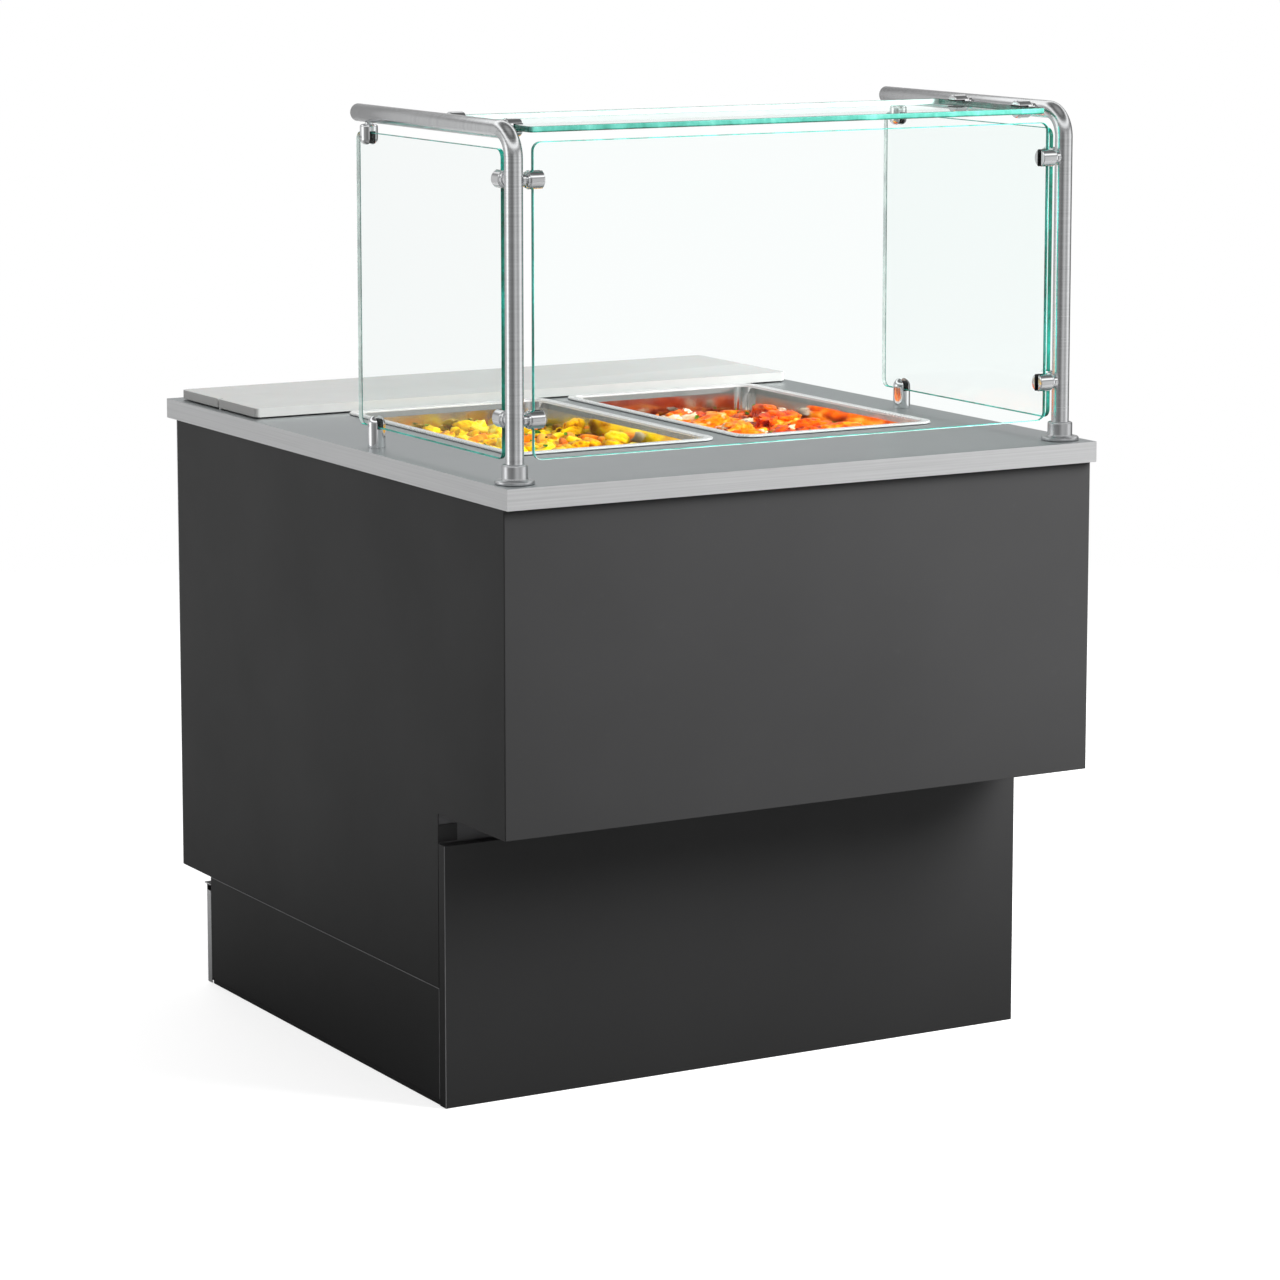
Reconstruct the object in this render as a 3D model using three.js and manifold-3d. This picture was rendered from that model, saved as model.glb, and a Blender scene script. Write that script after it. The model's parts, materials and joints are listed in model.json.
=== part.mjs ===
// Hot food display case: a two-well heated counter with a square sneeze guard.
// A sheet-metal cabinet stands on a plinth, its upper body overhanging a set-back lower front.
// The stainless countertop carries two full-size pans in heated wells, a cutting board on the
// operator's side, and two bent tube posts that hold four glass panels in slotted round clamps.
//
// Millimetres, +Z up. Inside the root group X runs from the left end of the countertop to the right
// (0..W), Y from the customer's front edge to the operator's rear edge (0..D), Z from the floor.
// The root group then puts the origin under the middle of the case, on the floor.
import * as THREE from "three";
import { mergeVertices } from "three/addons/utils/BufferGeometryUtils.js";
import Module from "manifold-3d";

// ---- driving dimensions ----
const W = 914.4; // countertop width (36 in)
const D = 1066.8; // countertop depth (42 in)
const TOP_Z = 857; // countertop height
const BAND_H = 28.3; // downturned edge of the countertop
const TOP_T = 1.6; // countertop sheet
const SHEET = 1.6; // cabinet sheet
const GAP = 0.3; // clearance between neighbouring pieces

const SIDE_IN = 2.0; // cabinet side face, in from the countertop's end
const FRONT_Y = 12.0; // upper front panel's face
const REAR_Y = 1037.0; // rear face of the cabinet
const OVER_Z = 398.0; // underside of the overhanging upper body
const LOW_Y = 184.6; // lower front panel's face
const LOW_TOP = 357.5; // its top edge
const NOTCH_Y = 203.0; // vertical edge of the side panel's notch
const KICK_Z = 161.0; // joint between side panel and kick panel
const KICK_REAR = 938.0; // rear end of the kick panels
const KICK_BOT = 8.5; // kick panels stop short of the floor

const TUBE_R = 12.0; // guard posts, 24 mm tube
const TUBE_WALL = 1.5;
const BEND_R = 36.0; // centreline radius of the bend
const POST_X = 33.0; // post axis in from the countertop's end
const POST_Y = 41.0; // post axis behind the countertop's front edge
const ARM_Z = 1308.0; // centreline of the horizontal arm
const ARM_END = 486.0; // rear end of the arm

const CLAMP_R = 12.2;
const CLAMP_OFF = 23.0; // clamp body starts this far from the tube's axis
const CLAMP_L = 17.0;
const GLASS_IN = 26.5; // glass edge, from the tube's axis
const GLASS_T = 6.0;
const SHELF_T = 8.0; // top glass
const GLASS_BOT = 885.0;
const FRONT_GLASS_TOP = 1293.0;
const SIDE_GLASS_TOP = 1283.0;
const CLAMP_Z = [938.0, 1245.0]; // heights of the clamps on the posts
const SHELF_CLAMP_Y = [100.0, 255.0];
const SHELF_Y = [46.0, 311.0];
const HANGER_Y = 453.0;
const STANDOFF_Y = 437.5;
const STANDOFF_TOP = 901.0;

const PAN_X = [310.0, 667.0]; // pan centres
const PAN_Y = 521.0;
const PAN_TOP = 861.0;
const PAN_HX = 161.0, PAN_HY = 258.0; // half size over the rim
const BOWL_HX = 150.5, BOWL_HY = 247.5; // half size of the bowl's outside
const PAN_DEPTH = 65.0;
const WELL_HX = 157.5, WELL_HY = 254.5;
const WELL_BOT = 690.0;

const BOARD = { x0: 14.0, x1: 899.0, y0: 786.0, y1: 1043.0, z0: 859.0, z1: 872.0 };

const HINGE_X = 14.0, HINGE_Y = 1055.5; // rear door hinge line, left (right mirrors)
const DOOR_Z = [178.0, 688.0];
const DOOR_IN = 1037.6;

// ---- solids ----
const wasm = await Module();
wasm.setup();

function solid(geometry) {
  const g = geometry.clone();
  g.deleteAttribute("normal");
  g.deleteAttribute("uv");
  const m = mergeVertices(g, 1e-4);
  const tri = new Uint32Array(m.index.array);
  const make = () =>
    new wasm.Manifold(new wasm.Mesh({ numProp: 3, vertProperties: new Float32Array(m.attributes.position.array), triVerts: tri }));
  let s = make();
  if (s.volume() < 0) {
    for (let i = 0; i < tri.length; i += 3) [tri[i + 1], tri[i + 2]] = [tri[i + 2], tri[i + 1]];
    s = make();
  }
  return s;
}
const join = (...all) => all.reduce((a, b) => a.add(b));
const cut = (a, ...rest) => rest.reduce((x, y) => x.subtract(y), a);

function block(x0, x1, y0, y1, z0, z1) {
  const g = new THREE.BoxGeometry(x1 - x0, y1 - y0, z1 - z0);
  g.translate((x0 + x1) / 2, (y0 + y1) / 2, (z0 + z1) / 2);
  return solid(g);
}
// A cylinder along "x", "y" or "z", from a to b on that axis.
function bar(axis, u, v, a, b, r, seg = 14) {
  const g = new THREE.CylinderGeometry(r, r, b - a, seg);
  g.translate(0, (a + b) / 2, 0);
  if (axis === "z") g.rotateX(Math.PI / 2).translate(u, v, 0);
  else if (axis === "x") g.rotateZ(-Math.PI / 2).translate(0, u, v);
  else g.translate(u, 0, v);
  return solid(g);
}
// A turned piece: profile points [radius, height] from axis to axis, along +Y of the lathe.
function turned(points, seg = 14) {
  return new THREE.LatheGeometry(points.map(([r, h]) => new THREE.Vector2(r, h)), seg);
}
const shapeOf = (pts) => new THREE.Shape(pts.map(([a, b]) => new THREE.Vector2(a, b)));
function rounded(a0, a1, b0, b1, r) {
  const s = new THREE.Shape();
  s.moveTo(a0 + r, b0);
  s.lineTo(a1 - r, b0);
  s.absarc(a1 - r, b0 + r, r, -Math.PI / 2, 0, false);
  s.lineTo(a1, b1 - r);
  s.absarc(a1 - r, b1 - r, r, 0, Math.PI / 2, false);
  s.lineTo(a0 + r, b1);
  s.absarc(a0 + r, b1 - r, r, Math.PI / 2, Math.PI, false);
  s.lineTo(a0, b0 + r);
  s.absarc(a0 + r, b0 + r, r, Math.PI, 1.5 * Math.PI, false);
  return s;
}
// Prisms: a shape in XY along Z, in XZ along Y, in YZ along X.
function prism(plane, shape, from, to, curveSegments = 3) {
  const g = new THREE.ExtrudeGeometry(shape, { depth: to - from, bevelEnabled: false, curveSegments });
  if (plane === "xy") g.translate(0, 0, from);
  else if (plane === "xz") g.rotateX(Math.PI / 2).translate(0, to, 0);
  else g.rotateY(Math.PI / 2).rotateX(Math.PI / 2).translate(from, 0, 0);
  return solid(g);
}
const rect = (cx, cy, hx, hy, r) => rounded(cx - hx, cx + hx, cy - hy, cy + hy, r);

// A path of knots with straight runs and arcs, sampled only where it turns.
class Route extends THREE.Curve {
  constructor(knots) {
    super();
    this.knots = knots; // [point, tangent] pairs
  }
  at(u) {
    return this.knots[Math.round(u * (this.knots.length - 1))];
  }
  getPoint(u) {
    return this.at(u)[0].clone();
  }
  getPointAt(u) {
    return this.at(u)[0].clone();
  }
  getTangent(u) {
    return this.at(u)[1].clone();
  }
  getTangentAt(u) {
    return this.at(u)[1].clone();
  }
}
// Corners of a polyline rounded to radius r, as route knots.
function route(points, r, steps) {
  const P = points.map((p) => new THREE.Vector3(...p));
  const knots = [];
  const dir = (a, b) => b.clone().sub(a).normalize();
  knots.push([P[0], dir(P[0], P[1])]);
  for (let i = 1; i < P.length - 1; i++) {
    const a = dir(P[i - 1], P[i]), b = dir(P[i], P[i + 1]);
    const turn = Math.acos(THREE.MathUtils.clamp(a.dot(b), -1, 1));
    const set = r * Math.tan(turn / 2);
    const start = P[i].clone().addScaledVector(a, -set);
    const normal = b.clone().addScaledVector(a, -a.dot(b)).normalize();
    const centre = start.clone().addScaledVector(normal, r);
    for (let k = 0; k <= steps; k++) {
      const t = (turn * k) / steps;
      const p = centre.clone().addScaledVector(normal, -r * Math.cos(t)).addScaledVector(a, r * Math.sin(t));
      knots.push([p, a.clone().multiplyScalar(Math.cos(t)).addScaledVector(normal, Math.sin(t)).normalize()]);
    }
  }
  const n = P.length;
  knots.push([P[n - 1], dir(P[n - 2], P[n - 1])]);
  return new Route(knots);
}
function sweep(path, r, sides) {
  const ring = [];
  for (let i = 0; i < sides; i++) {
    const t = ((i + 0.5) / sides) * 2 * Math.PI;
    ring.push(new THREE.Vector2(r * Math.cos(t), r * Math.sin(t)));
  }
  const g = new THREE.ExtrudeGeometry(new THREE.Shape(ring), {
    steps: path.knots.length - 1,
    extrudePath: path,
    bevelEnabled: false,
  });
  return solid(g);
}

const FINISH = {
  black_sheet: { color: 0x3a3a3b, roughness: 0.5, metalness: 0.3 },
  steel: { color: 0xb4b6b8, roughness: 0.35, metalness: 1.0 },
  steel_satin: { color: 0x9ea2a3, roughness: 0.45, metalness: 1.0 },
  chrome: { color: 0xd8dadc, roughness: 0.12, metalness: 1.0 },
  glass: { color: 0xdff3ee, roughness: 0.03, metalness: 0.0 },
  board: { color: 0xe9e9e6, roughness: 0.6, metalness: 0.0 },
  black_plastic: { color: 0x1c1c1d, roughness: 0.55, metalness: 0.0 },
  red_plastic: { color: 0xc8201a, roughness: 0.3, metalness: 0.0 },
  yellow_food: { color: 0xe9b21c, roughness: 0.7, metalness: 0.0 },
  orange_food: { color: 0xe2521a, roughness: 0.7, metalness: 0.0 },
  element: { color: 0x5a5450, roughness: 0.6, metalness: 0.8 },
  brass: { color: 0xb08a42, roughness: 0.35, metalness: 1.0 },
};

const root = new THREE.Group();
root.position.set(-W / 2, -D / 2, 0);
const cabinet = new THREE.Group();
const worktop = new THREE.Group();
const guard = new THREE.Group();
const service = new THREE.Group();
root.add(cabinet, worktop, guard, service);

function place(group, name, s, finish) {
  const mesh = s.getMesh();
  const v = new Float32Array(mesh.numVert * 3);
  for (let i = 0; i < mesh.numVert; i++)
    v.set(mesh.vertProperties.subarray(i * mesh.numProp, i * mesh.numProp + 3), i * 3);
  const g = new THREE.BufferGeometry();
  g.setAttribute("position", new THREE.BufferAttribute(v, 3));
  g.setIndex(new THREE.BufferAttribute(new Uint32Array(mesh.triVerts), 1));
  const flat = g.toNonIndexed();
  flat.computeVertexNormals();
  const m = new THREE.Mesh(flat, new THREE.MeshStandardMaterial(FINISH[finish]));
  m.name = name;
  group.add(m);
  return m;
}
// The mirror image of a solid across the case's middle plane.
const mirrored = (s) => s.mirror([1, 0, 0]).translate([W, 0, 0]);

// ---- cabinet ----
const xi = SIDE_IN, xo = SIDE_IN + SHEET; // left side panel's faces
const inX0 = xo + GAP, inX1 = W - inX0; // between the side panels

// Plinth: a black folded ring that the case stands on.
const plinthY = [NOTCH_Y + 2, KICK_REAR - 2];
place(
  cabinet,
  "base_frame",
  join(
    cut(
      block(inX0 + 0.1, inX1 - 0.1, plinthY[0], plinthY[1], 0, KICK_Z - GAP),
      block(inX0 + 2.1, inX1 - 2.1, plinthY[0] + 2, plinthY[1] - 2, -1, KICK_Z + 1),
    ),
    block(W / 2 - 20, W / 2 + 20, plinthY[0] + 1, plinthY[1] - 1, KICK_Z - GAP - 30, KICK_Z - GAP),
  ),
  "black_sheet",
);
const kick = block(xi, xo, NOTCH_Y, KICK_REAR, KICK_BOT, KICK_Z - GAP);
place(cabinet, "kick_panel_left", kick, "black_sheet");
place(cabinet, "kick_panel_right", mirrored(kick), "black_sheet");
// Rear kick: a stainless channel whose returns show at both ends, with a lip under the deck.
const rk0 = KICK_REAR + GAP, rk1 = KICK_REAR + 14;
place(
  cabinet,
  "kick_panel_rear",
  join(
    block(xi, W - xi, rk1 - SHEET, rk1, 0.5, 149.5),
    block(xi, xi + SHEET, rk0, rk1 - 0.5, 0.5, 139),
    block(W - xi - SHEET, W - xi, rk0, rk1 - 0.5, 0.5, 139),
    block(xi, W - xi, rk0, 960, 147.5, 149.5),
  ),
  "steel",
);
place(
  cabinet,
  "cabinet_deck",
  join(
    block(inX0, inX1, NOTCH_Y + 5, REAR_Y - SHEET - 2 * GAP, KICK_Z, KICK_Z + SHEET),
    block(inX0, inX1, REAR_Y - SHEET - 2 * GAP - 1.6, REAR_Y - SHEET - 2 * GAP, KICK_Z, KICK_Z + 14),
  ),
  "black_sheet",
);
// Side panel: an L-shaped sheet with the toe-space notch, and the folded tab that faces forward in the notch.
const sideShape = shapeOf([
  [FRONT_Y + SHEET + GAP, OVER_Z],
  [NOTCH_Y, OVER_Z],
  [NOTCH_Y, KICK_Z],
  [REAR_Y - SHEET - GAP, KICK_Z],
  [REAR_Y - SHEET - GAP, TOP_Z - 4],
  [FRONT_Y + SHEET + GAP, TOP_Z - 4],
]);
const side = join(
  prism("yz", sideShape, xi, xo),
  block(xo - 0.8, 31, NOTCH_Y + 0.2, NOTCH_Y + 1.8, 359.4, 382.4),
);
place(cabinet, "side_panel_left", side, "black_sheet");
place(cabinet, "side_panel_right", mirrored(side), "black_sheet");
place(
  cabinet,
  "front_panel_upper",
  join(
    block(xi, W - xi, FRONT_Y, FRONT_Y + SHEET, OVER_Z, TOP_Z - 4),
    block(inX0, inX1, FRONT_Y + 0.8, FRONT_Y + 20, OVER_Z, OVER_Z + SHEET),
  ),
  "black_sheet",
);
place(
  cabinet,
  "overhang_soffit",
  join(
    block(inX0, inX1, FRONT_Y + 20 + GAP, NOTCH_Y - 1, OVER_Z, OVER_Z + SHEET),
    block(inX0, inX1, NOTCH_Y - 1 - SHEET, NOTCH_Y - 1, OVER_Z, OVER_Z + 16),
  ),
  "black_sheet",
);
place(
  cabinet,
  "front_panel_lower",
  join(
    block(xi, W - xi, LOW_Y, LOW_Y + SHEET, 0, LOW_TOP),
    block(xi, xo, LOW_Y + 1, NOTCH_Y - 1, 0, LOW_TOP),
    block(W - xo, W - xi, LOW_Y + 1, NOTCH_Y - 1, 0, LOW_TOP),
    block(xi, W - xi, LOW_Y + 1, NOTCH_Y - 1, LOW_TOP - SHEET, LOW_TOP),
  ),
  "black_sheet",
);
place(
  cabinet,
  "inner_front_wall",
  block(inX0, inX1, NOTCH_Y + 2.2, NOTCH_Y + 2.2 + SHEET, KICK_Z + GAP, TOP_Z - 30),
  "steel_satin",
);

// Rear face frame with two door openings, a window for the controls and a hole for the supply gland.
const CTRL = { x0: 257, x1: 657, z0: 712, z1: 812 };
const GLAND = { x: 820, z: 762 };
place(
  cabinet,
  "rear_frame",
  cut(
    block(xi, W - xi, REAR_Y - SHEET, REAR_Y, KICK_Z + 0.2, TOP_Z - 4),
    block(30, 440, REAR_Y - 5, REAR_Y + 5, 190, 675),
    block(W - 440, W - 30, REAR_Y - 5, REAR_Y + 5, 190, 675),
    block(CTRL.x0 + 15, CTRL.x1 - 15, REAR_Y - 5, REAR_Y + 5, CTRL.z0 + 15, CTRL.z1 - 15),
    bar("y", GLAND.x, GLAND.z, REAR_Y - 5, REAR_Y + 5, 9.3, 16),
  ),
  "steel",
);
// Rear doors: folded pans hung on piano hinges, each with a recessed cup pull.
const PULL = { x: 390, z: 600, hx: 49, hz: 17 };
const door = cut(
  block(HINGE_X + 4, W / 2 - 1.7, DOOR_IN, HINGE_Y, DOOR_Z[0], DOOR_Z[1]),
  block(HINGE_X + 5.5, W / 2 - 3.2, DOOR_IN - 1, HINGE_Y - 1.5, DOOR_Z[0] + 1.5, DOOR_Z[1] - 1.5),
  block(PULL.x - PULL.hx, PULL.x + PULL.hx, HINGE_Y - 3, HINGE_Y + 1, PULL.z - PULL.hz, PULL.z + PULL.hz),
);
place(cabinet, "door_left", door, "steel");
place(cabinet, "door_right", mirrored(door), "steel");
const pull = join(
  cut(
    block(PULL.x - PULL.hx + GAP, PULL.x + PULL.hx - GAP, 1042, HINGE_Y + 1, PULL.z - PULL.hz + GAP, PULL.z + PULL.hz - GAP),
    block(PULL.x - PULL.hx + 1.5, PULL.x + PULL.hx - 1.5, 1043.2, HINGE_Y + 2, PULL.z - PULL.hz + 1.5, PULL.z + PULL.hz - 1.5),
  ),
  cut(
    block(PULL.x - PULL.hx - 6, PULL.x + PULL.hx + 6, HINGE_Y + GAP, HINGE_Y + 1.8, PULL.z - PULL.hz - 6, PULL.z + PULL.hz + 6),
    block(PULL.x - PULL.hx + 1.5, PULL.x + PULL.hx - 1.5, HINGE_Y - 1, HINGE_Y + 3, PULL.z - PULL.hz + 1.5, PULL.z + PULL.hz - 1.5),
  ),
);
place(cabinet, "door_pull_left", pull, "chrome");
place(cabinet, "door_pull_right", mirrored(pull), "chrome");
const hinge = join(
  block(HINGE_X - 11, HINGE_X - 0.7, REAR_Y + GAP, REAR_Y + GAP + 1.4, DOOR_Z[0] + 6, DOOR_Z[1] - 6),
  block(HINGE_X - 2.2, HINGE_X - 0.7, REAR_Y + GAP, HINGE_Y, DOOR_Z[0] + 6, DOOR_Z[1] - 6),
  bar("z", HINGE_X, HINGE_Y, DOOR_Z[0] + 6, DOOR_Z[1] - 6, 3, 12),
);
place(cabinet, "door_hinge_left", hinge, "steel");
place(cabinet, "door_hinge_right", mirrored(hinge), "steel");

// ---- controls and services ----
const KNOB_X = [430, 560], KNOB_Z = 762, SWITCH_X = 300, LAMP_X = 352;
const PLATE_Y = [REAR_Y + GAP, REAR_Y + GAP + 1.5];
const SW_Y = 1030; // rocker pivot
let panel = join(
  block(CTRL.x0, CTRL.x1, PLATE_Y[0], PLATE_Y[1], CTRL.z0, CTRL.z1),
  ...KNOB_X.map((x) => block(x - 22, x + 22, 1004, PLATE_Y[0] + 0.5, KNOB_Z - 22, KNOB_Z + 22)),
);
panel = cut(
  panel,
  ...KNOB_X.map((x) => bar("y", x, KNOB_Z, 1022, 1045, 3.5, 16)),
  block(SWITCH_X - 10.6, SWITCH_X + 10.6, 1030, 1045, KNOB_Z - 13.2, KNOB_Z + 13.2),
  bar("y", LAMP_X, KNOB_Z, 1030, 1045, 5.4, 16),
);
place(service, "control_panel", panel, "steel");
KNOB_X.forEach((x, i) => {
  const grip = turned([[0, 1039.4], [21, 1039.4], [21, 1043], [18, 1045], [17, 1058], [15.5, 1060], [0, 1060]], 20);
  grip.translate(x, 0, KNOB_Z);
  const body = join(
    solid(grip),
    block(x - 2.4, x + 2.4, 1059, 1062.5, KNOB_Z - 14, KNOB_Z + 15.5),
    bar("y", x, KNOB_Z, 1024, 1040, 3, 16),
  );
  place(service, i ? "thermostat_knob_right" : "thermostat_knob_left", body, "black_plastic");
});
// Rocker: corners lie on a circle about the pivot, tilted to its rest position.
const tilt = (-8 * Math.PI) / 180;
const rocker = [[-3, -5], [9.13, -10.88], [9.6, 0], [9.13, 10.88], [-3, 5]].map(([y, z]) => [
  SW_Y + y * Math.cos(tilt) - z * Math.sin(tilt),
  KNOB_Z + y * Math.sin(tilt) + z * Math.cos(tilt),
]);
place(service, "power_switch", prism("yz", shapeOf(rocker), SWITCH_X - 10, SWITCH_X + 10), "red_plastic");
{
  const g = turned([[0, 1024], [5, 1024], [5, 1039.1], [8, 1039.1], [8, 1041], [6, 1042], [5, 1045], [2.5, 1046.5], [0, 1047]], 12);
  g.translate(LAMP_X, 0, KNOB_Z);
  place(service, "indicator_lamp", solid(g), "red_plastic");
}
{
  // Supply gland: hexagon and dome nut outside the frame, thread through it, open bore for a lead.
  const g = turned([[0, 1020], [9, 1020], [9, 1037.4], [14, 1037.4], [14, 1043], [12, 1044], [11.5, 1056], [9, 1060], [0, 1060]], 12);
  g.translate(GLAND.x, 0, GLAND.z);
  place(service, "power_gland", cut(solid(g), bar("y", GLAND.x, GLAND.z, 1010, 1070, 5, 12)), "black_plastic");
}

// ---- countertop, wells, pans ----
const wellCut = (cx) => prism("xy", rect(cx, PAN_Y, BOWL_HX + 2.5, BOWL_HY + 2.5, 24), TOP_Z - 10, TOP_Z + 5);
const PIN_Y = (BOARD.y0 + BOARD.y1) / 2;
let top = cut(
  block(0, W, 0, D, TOP_Z - BAND_H, TOP_Z),
  block(TOP_T, W - TOP_T, TOP_T, D - TOP_T, TOP_Z - BAND_H - 1, TOP_Z - TOP_T),
  wellCut(PAN_X[0]),
  wellCut(PAN_X[1]),
);
// Two short locating studs stand in the board's end slots.
top = join(
  top,
  bar("z", BOARD.x0 + 4, PIN_Y, TOP_Z - 1, TOP_Z + 12, 2.0, 12),
  bar("z", BOARD.x1 - 4, PIN_Y, TOP_Z - 1, TOP_Z + 12, 2.0, 12),
);
place(worktop, "countertop", top, "steel_satin");

const DRAIN_Y = PAN_Y + 200;
PAN_X.forEach((cx, i) => {
  const tag = i ? "right" : "left";
  const well = cut(
    join(
      prism("xy", rect(cx, PAN_Y, WELL_HX, WELL_HY, 26), WELL_BOT, TOP_Z - TOP_T - GAP),
      prism("xy", rect(cx, PAN_Y, WELL_HX + 9, WELL_HY + 9, 30), TOP_Z - TOP_T - GAP - 1.5, TOP_Z - TOP_T - GAP),
      bar("z", cx, DRAIN_Y, WELL_BOT - 22, WELL_BOT + 1, 12.5, 16),
    ),
    prism("xy", rect(cx, PAN_Y, WELL_HX - 1.5, WELL_HY - 1.5, 24.5), WELL_BOT + 1.5, TOP_Z + 5),
    bar("z", cx, DRAIN_Y, WELL_BOT - 30, WELL_BOT + 5, 9, 16),
  );
  place(worktop, "well_" + tag, well, "steel");

  const pan = join(
    cut(
      prism("xy", rect(cx, PAN_Y, BOWL_HX, BOWL_HY, 22), PAN_TOP - PAN_DEPTH, PAN_TOP),
      prism("xy", rect(cx, PAN_Y, BOWL_HX - 1.5, BOWL_HY - 1.5, 20.5), PAN_TOP - PAN_DEPTH + 1.5, PAN_TOP + 5),
    ),
    cut(
      prism("xy", rect(cx, PAN_Y, PAN_HX, PAN_HY, 26), TOP_Z + GAP, PAN_TOP),
      prism("xy", rect(cx, PAN_Y, BOWL_HX - 1.5, BOWL_HY - 1.5, 20.5), TOP_Z - 5, PAN_TOP + 5),
    ),
  );
  place(worktop, "pan_" + tag, pan, "steel");
  place(
    worktop,
    "food_" + tag,
    prism("xy", rect(cx, PAN_Y, BOWL_HX - 3.5, BOWL_HY - 3.5, 18), PAN_TOP - PAN_DEPTH + 2.0, PAN_TOP - 27),
    i ? "orange_food" : "yellow_food",
  );

  // Heating element: a tubular loop folded under the well's floor.
  const z = WELL_BOT - 4.4;
  const loop = route(
    [
      [cx - 60, DRAIN_Y + 38, z - 20],
      [cx - 60, DRAIN_Y + 38, z],
      [cx - 120, DRAIN_Y + 38, z],
      [cx - 120, PAN_Y - 200, z],
      [cx - 40, PAN_Y - 200, z],
      [cx - 40, DRAIN_Y - 40, z],
      [cx + 40, DRAIN_Y - 40, z],
      [cx + 40, PAN_Y - 200, z],
      [cx + 120, PAN_Y - 200, z],
      [cx + 120, DRAIN_Y + 38, z],
      [cx + 60, DRAIN_Y + 38, z],
      [cx + 60, DRAIN_Y + 38, z - 20],
    ],
    8,
    3,
  );
  place(service, "heating_element_" + tag, sweep(loop, 4, 6), "element");
});
// Drain manifold: both wells run to one quarter-turn valve that empties into the storage bay.
const MZ = 646, VALVE_Y = 950;
place(
  service,
  "drain_manifold",
  join(
    bar("x", DRAIN_Y, MZ, PAN_X[0] - 11, PAN_X[1] + 11, 11, 16),
    ...PAN_X.map((x) => bar("z", x, DRAIN_Y, MZ, WELL_BOT - 22 - GAP, 11, 16)),
    bar("y", W / 2, MZ, DRAIN_Y, VALVE_Y, 11, 16),
    block(W / 2 - 17, W / 2 + 17, VALVE_Y - 22, VALVE_Y + 20, MZ - 17, MZ + 17),
    bar("z", W / 2, VALVE_Y + 2, MZ - 52, MZ - 10, 11, 16),
    bar("z", W / 2, VALVE_Y, MZ + 10, MZ + 24, 7, 12),
  ),
  "brass",
);
place(
  service,
  "drain_lever",
  join(
    bar("z", W / 2, VALVE_Y, MZ + 24.4, MZ + 30, 9, 16),
    block(W / 2, W / 2 + 78, VALVE_Y - 6, VALVE_Y + 6, MZ + 25.4, MZ + 29),
  ),
  "red_plastic",
);

// ---- cutting board ----
const be = 4.5; // chamfered round of the board's long edges
const boardShape = shapeOf([
  [BOARD.y0 + be, BOARD.z0],
  [BOARD.y1 - be, BOARD.z0],
  [BOARD.y1, BOARD.z0 + be],
  [BOARD.y1, BOARD.z1 - be],
  [BOARD.y1 - be, BOARD.z1],
  [BOARD.y0 + be, BOARD.z1],
  [BOARD.y0, BOARD.z1 - be],
  [BOARD.y0, BOARD.z0 + be],
]);
place(
  worktop,
  "cutting_board",
  cut(
    prism("yz", boardShape, BOARD.x0, BOARD.x1),
    block(BOARD.x0 - 1, BOARD.x0 + 7, PIN_Y - 2.6, PIN_Y + 2.6, BOARD.z0 - 1, BOARD.z1 + 1),
    block(BOARD.x1 - 7, BOARD.x1 + 1, PIN_Y - 2.6, PIN_Y + 2.6, BOARD.z0 - 1, BOARD.z1 + 1),
  ),
  "board",
);

// ---- sneeze guard ----
const postRoute = (z0, yEnd) => route([[POST_X, POST_Y, z0], [POST_X, POST_Y, ARM_Z], [POST_X, yEnd, ARM_Z]], BEND_R, 6);
const post = cut(
  sweep(postRoute(TOP_Z + 2.3, ARM_END), TUBE_R, 16),
  sweep(postRoute(TOP_Z - 5, ARM_END - 2), TUBE_R - TUBE_WALL, 12),
);
place(guard, "post_left", post, "steel");
place(guard, "post_right", mirrored(post), "steel");
const flange = (() => {
  const g = turned([[0, 0], [26, 0], [26, 4.6], [25, 5.7], [17, 5.7], [17, 24], [16, 25], [0, 25]], 20);
  g.rotateX(Math.PI / 2).translate(POST_X, POST_Y, TOP_Z + GAP);
  return cut(solid(g), bar("z", POST_X, POST_Y, TOP_Z + 2, TOP_Z + 40, TUBE_R + GAP, 20));
})();
place(guard, "post_flange_left", flange, "steel");
place(guard, "post_flange_right", mirrored(flange), "steel");

place(
  guard,
  "glass_front",
  prism("xz", rounded(POST_X + GLASS_IN, W - POST_X - GLASS_IN, GLASS_BOT, FRONT_GLASS_TOP, 12), POST_Y - GLASS_T / 2, POST_Y + GLASS_T / 2, 4),
  "glass",
);
const sideGlass = prism("yz", rounded(POST_Y + GLASS_IN + 2, ARM_END, GLASS_BOT - 1, SIDE_GLASS_TOP, 12), POST_X - GLASS_T / 2, POST_X + GLASS_T / 2, 4);
place(guard, "glass_side_left", sideGlass, "glass");
place(guard, "glass_side_right", mirrored(sideGlass), "glass");
place(
  guard,
  "glass_top",
  prism("xy", rounded(POST_X + GLASS_IN, W - POST_X - GLASS_IN, SHELF_Y[0], SHELF_Y[1], 6), ARM_Z - SHELF_T / 2, ARM_Z + SHELF_T / 2, 3),
  "glass",
);

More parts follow.
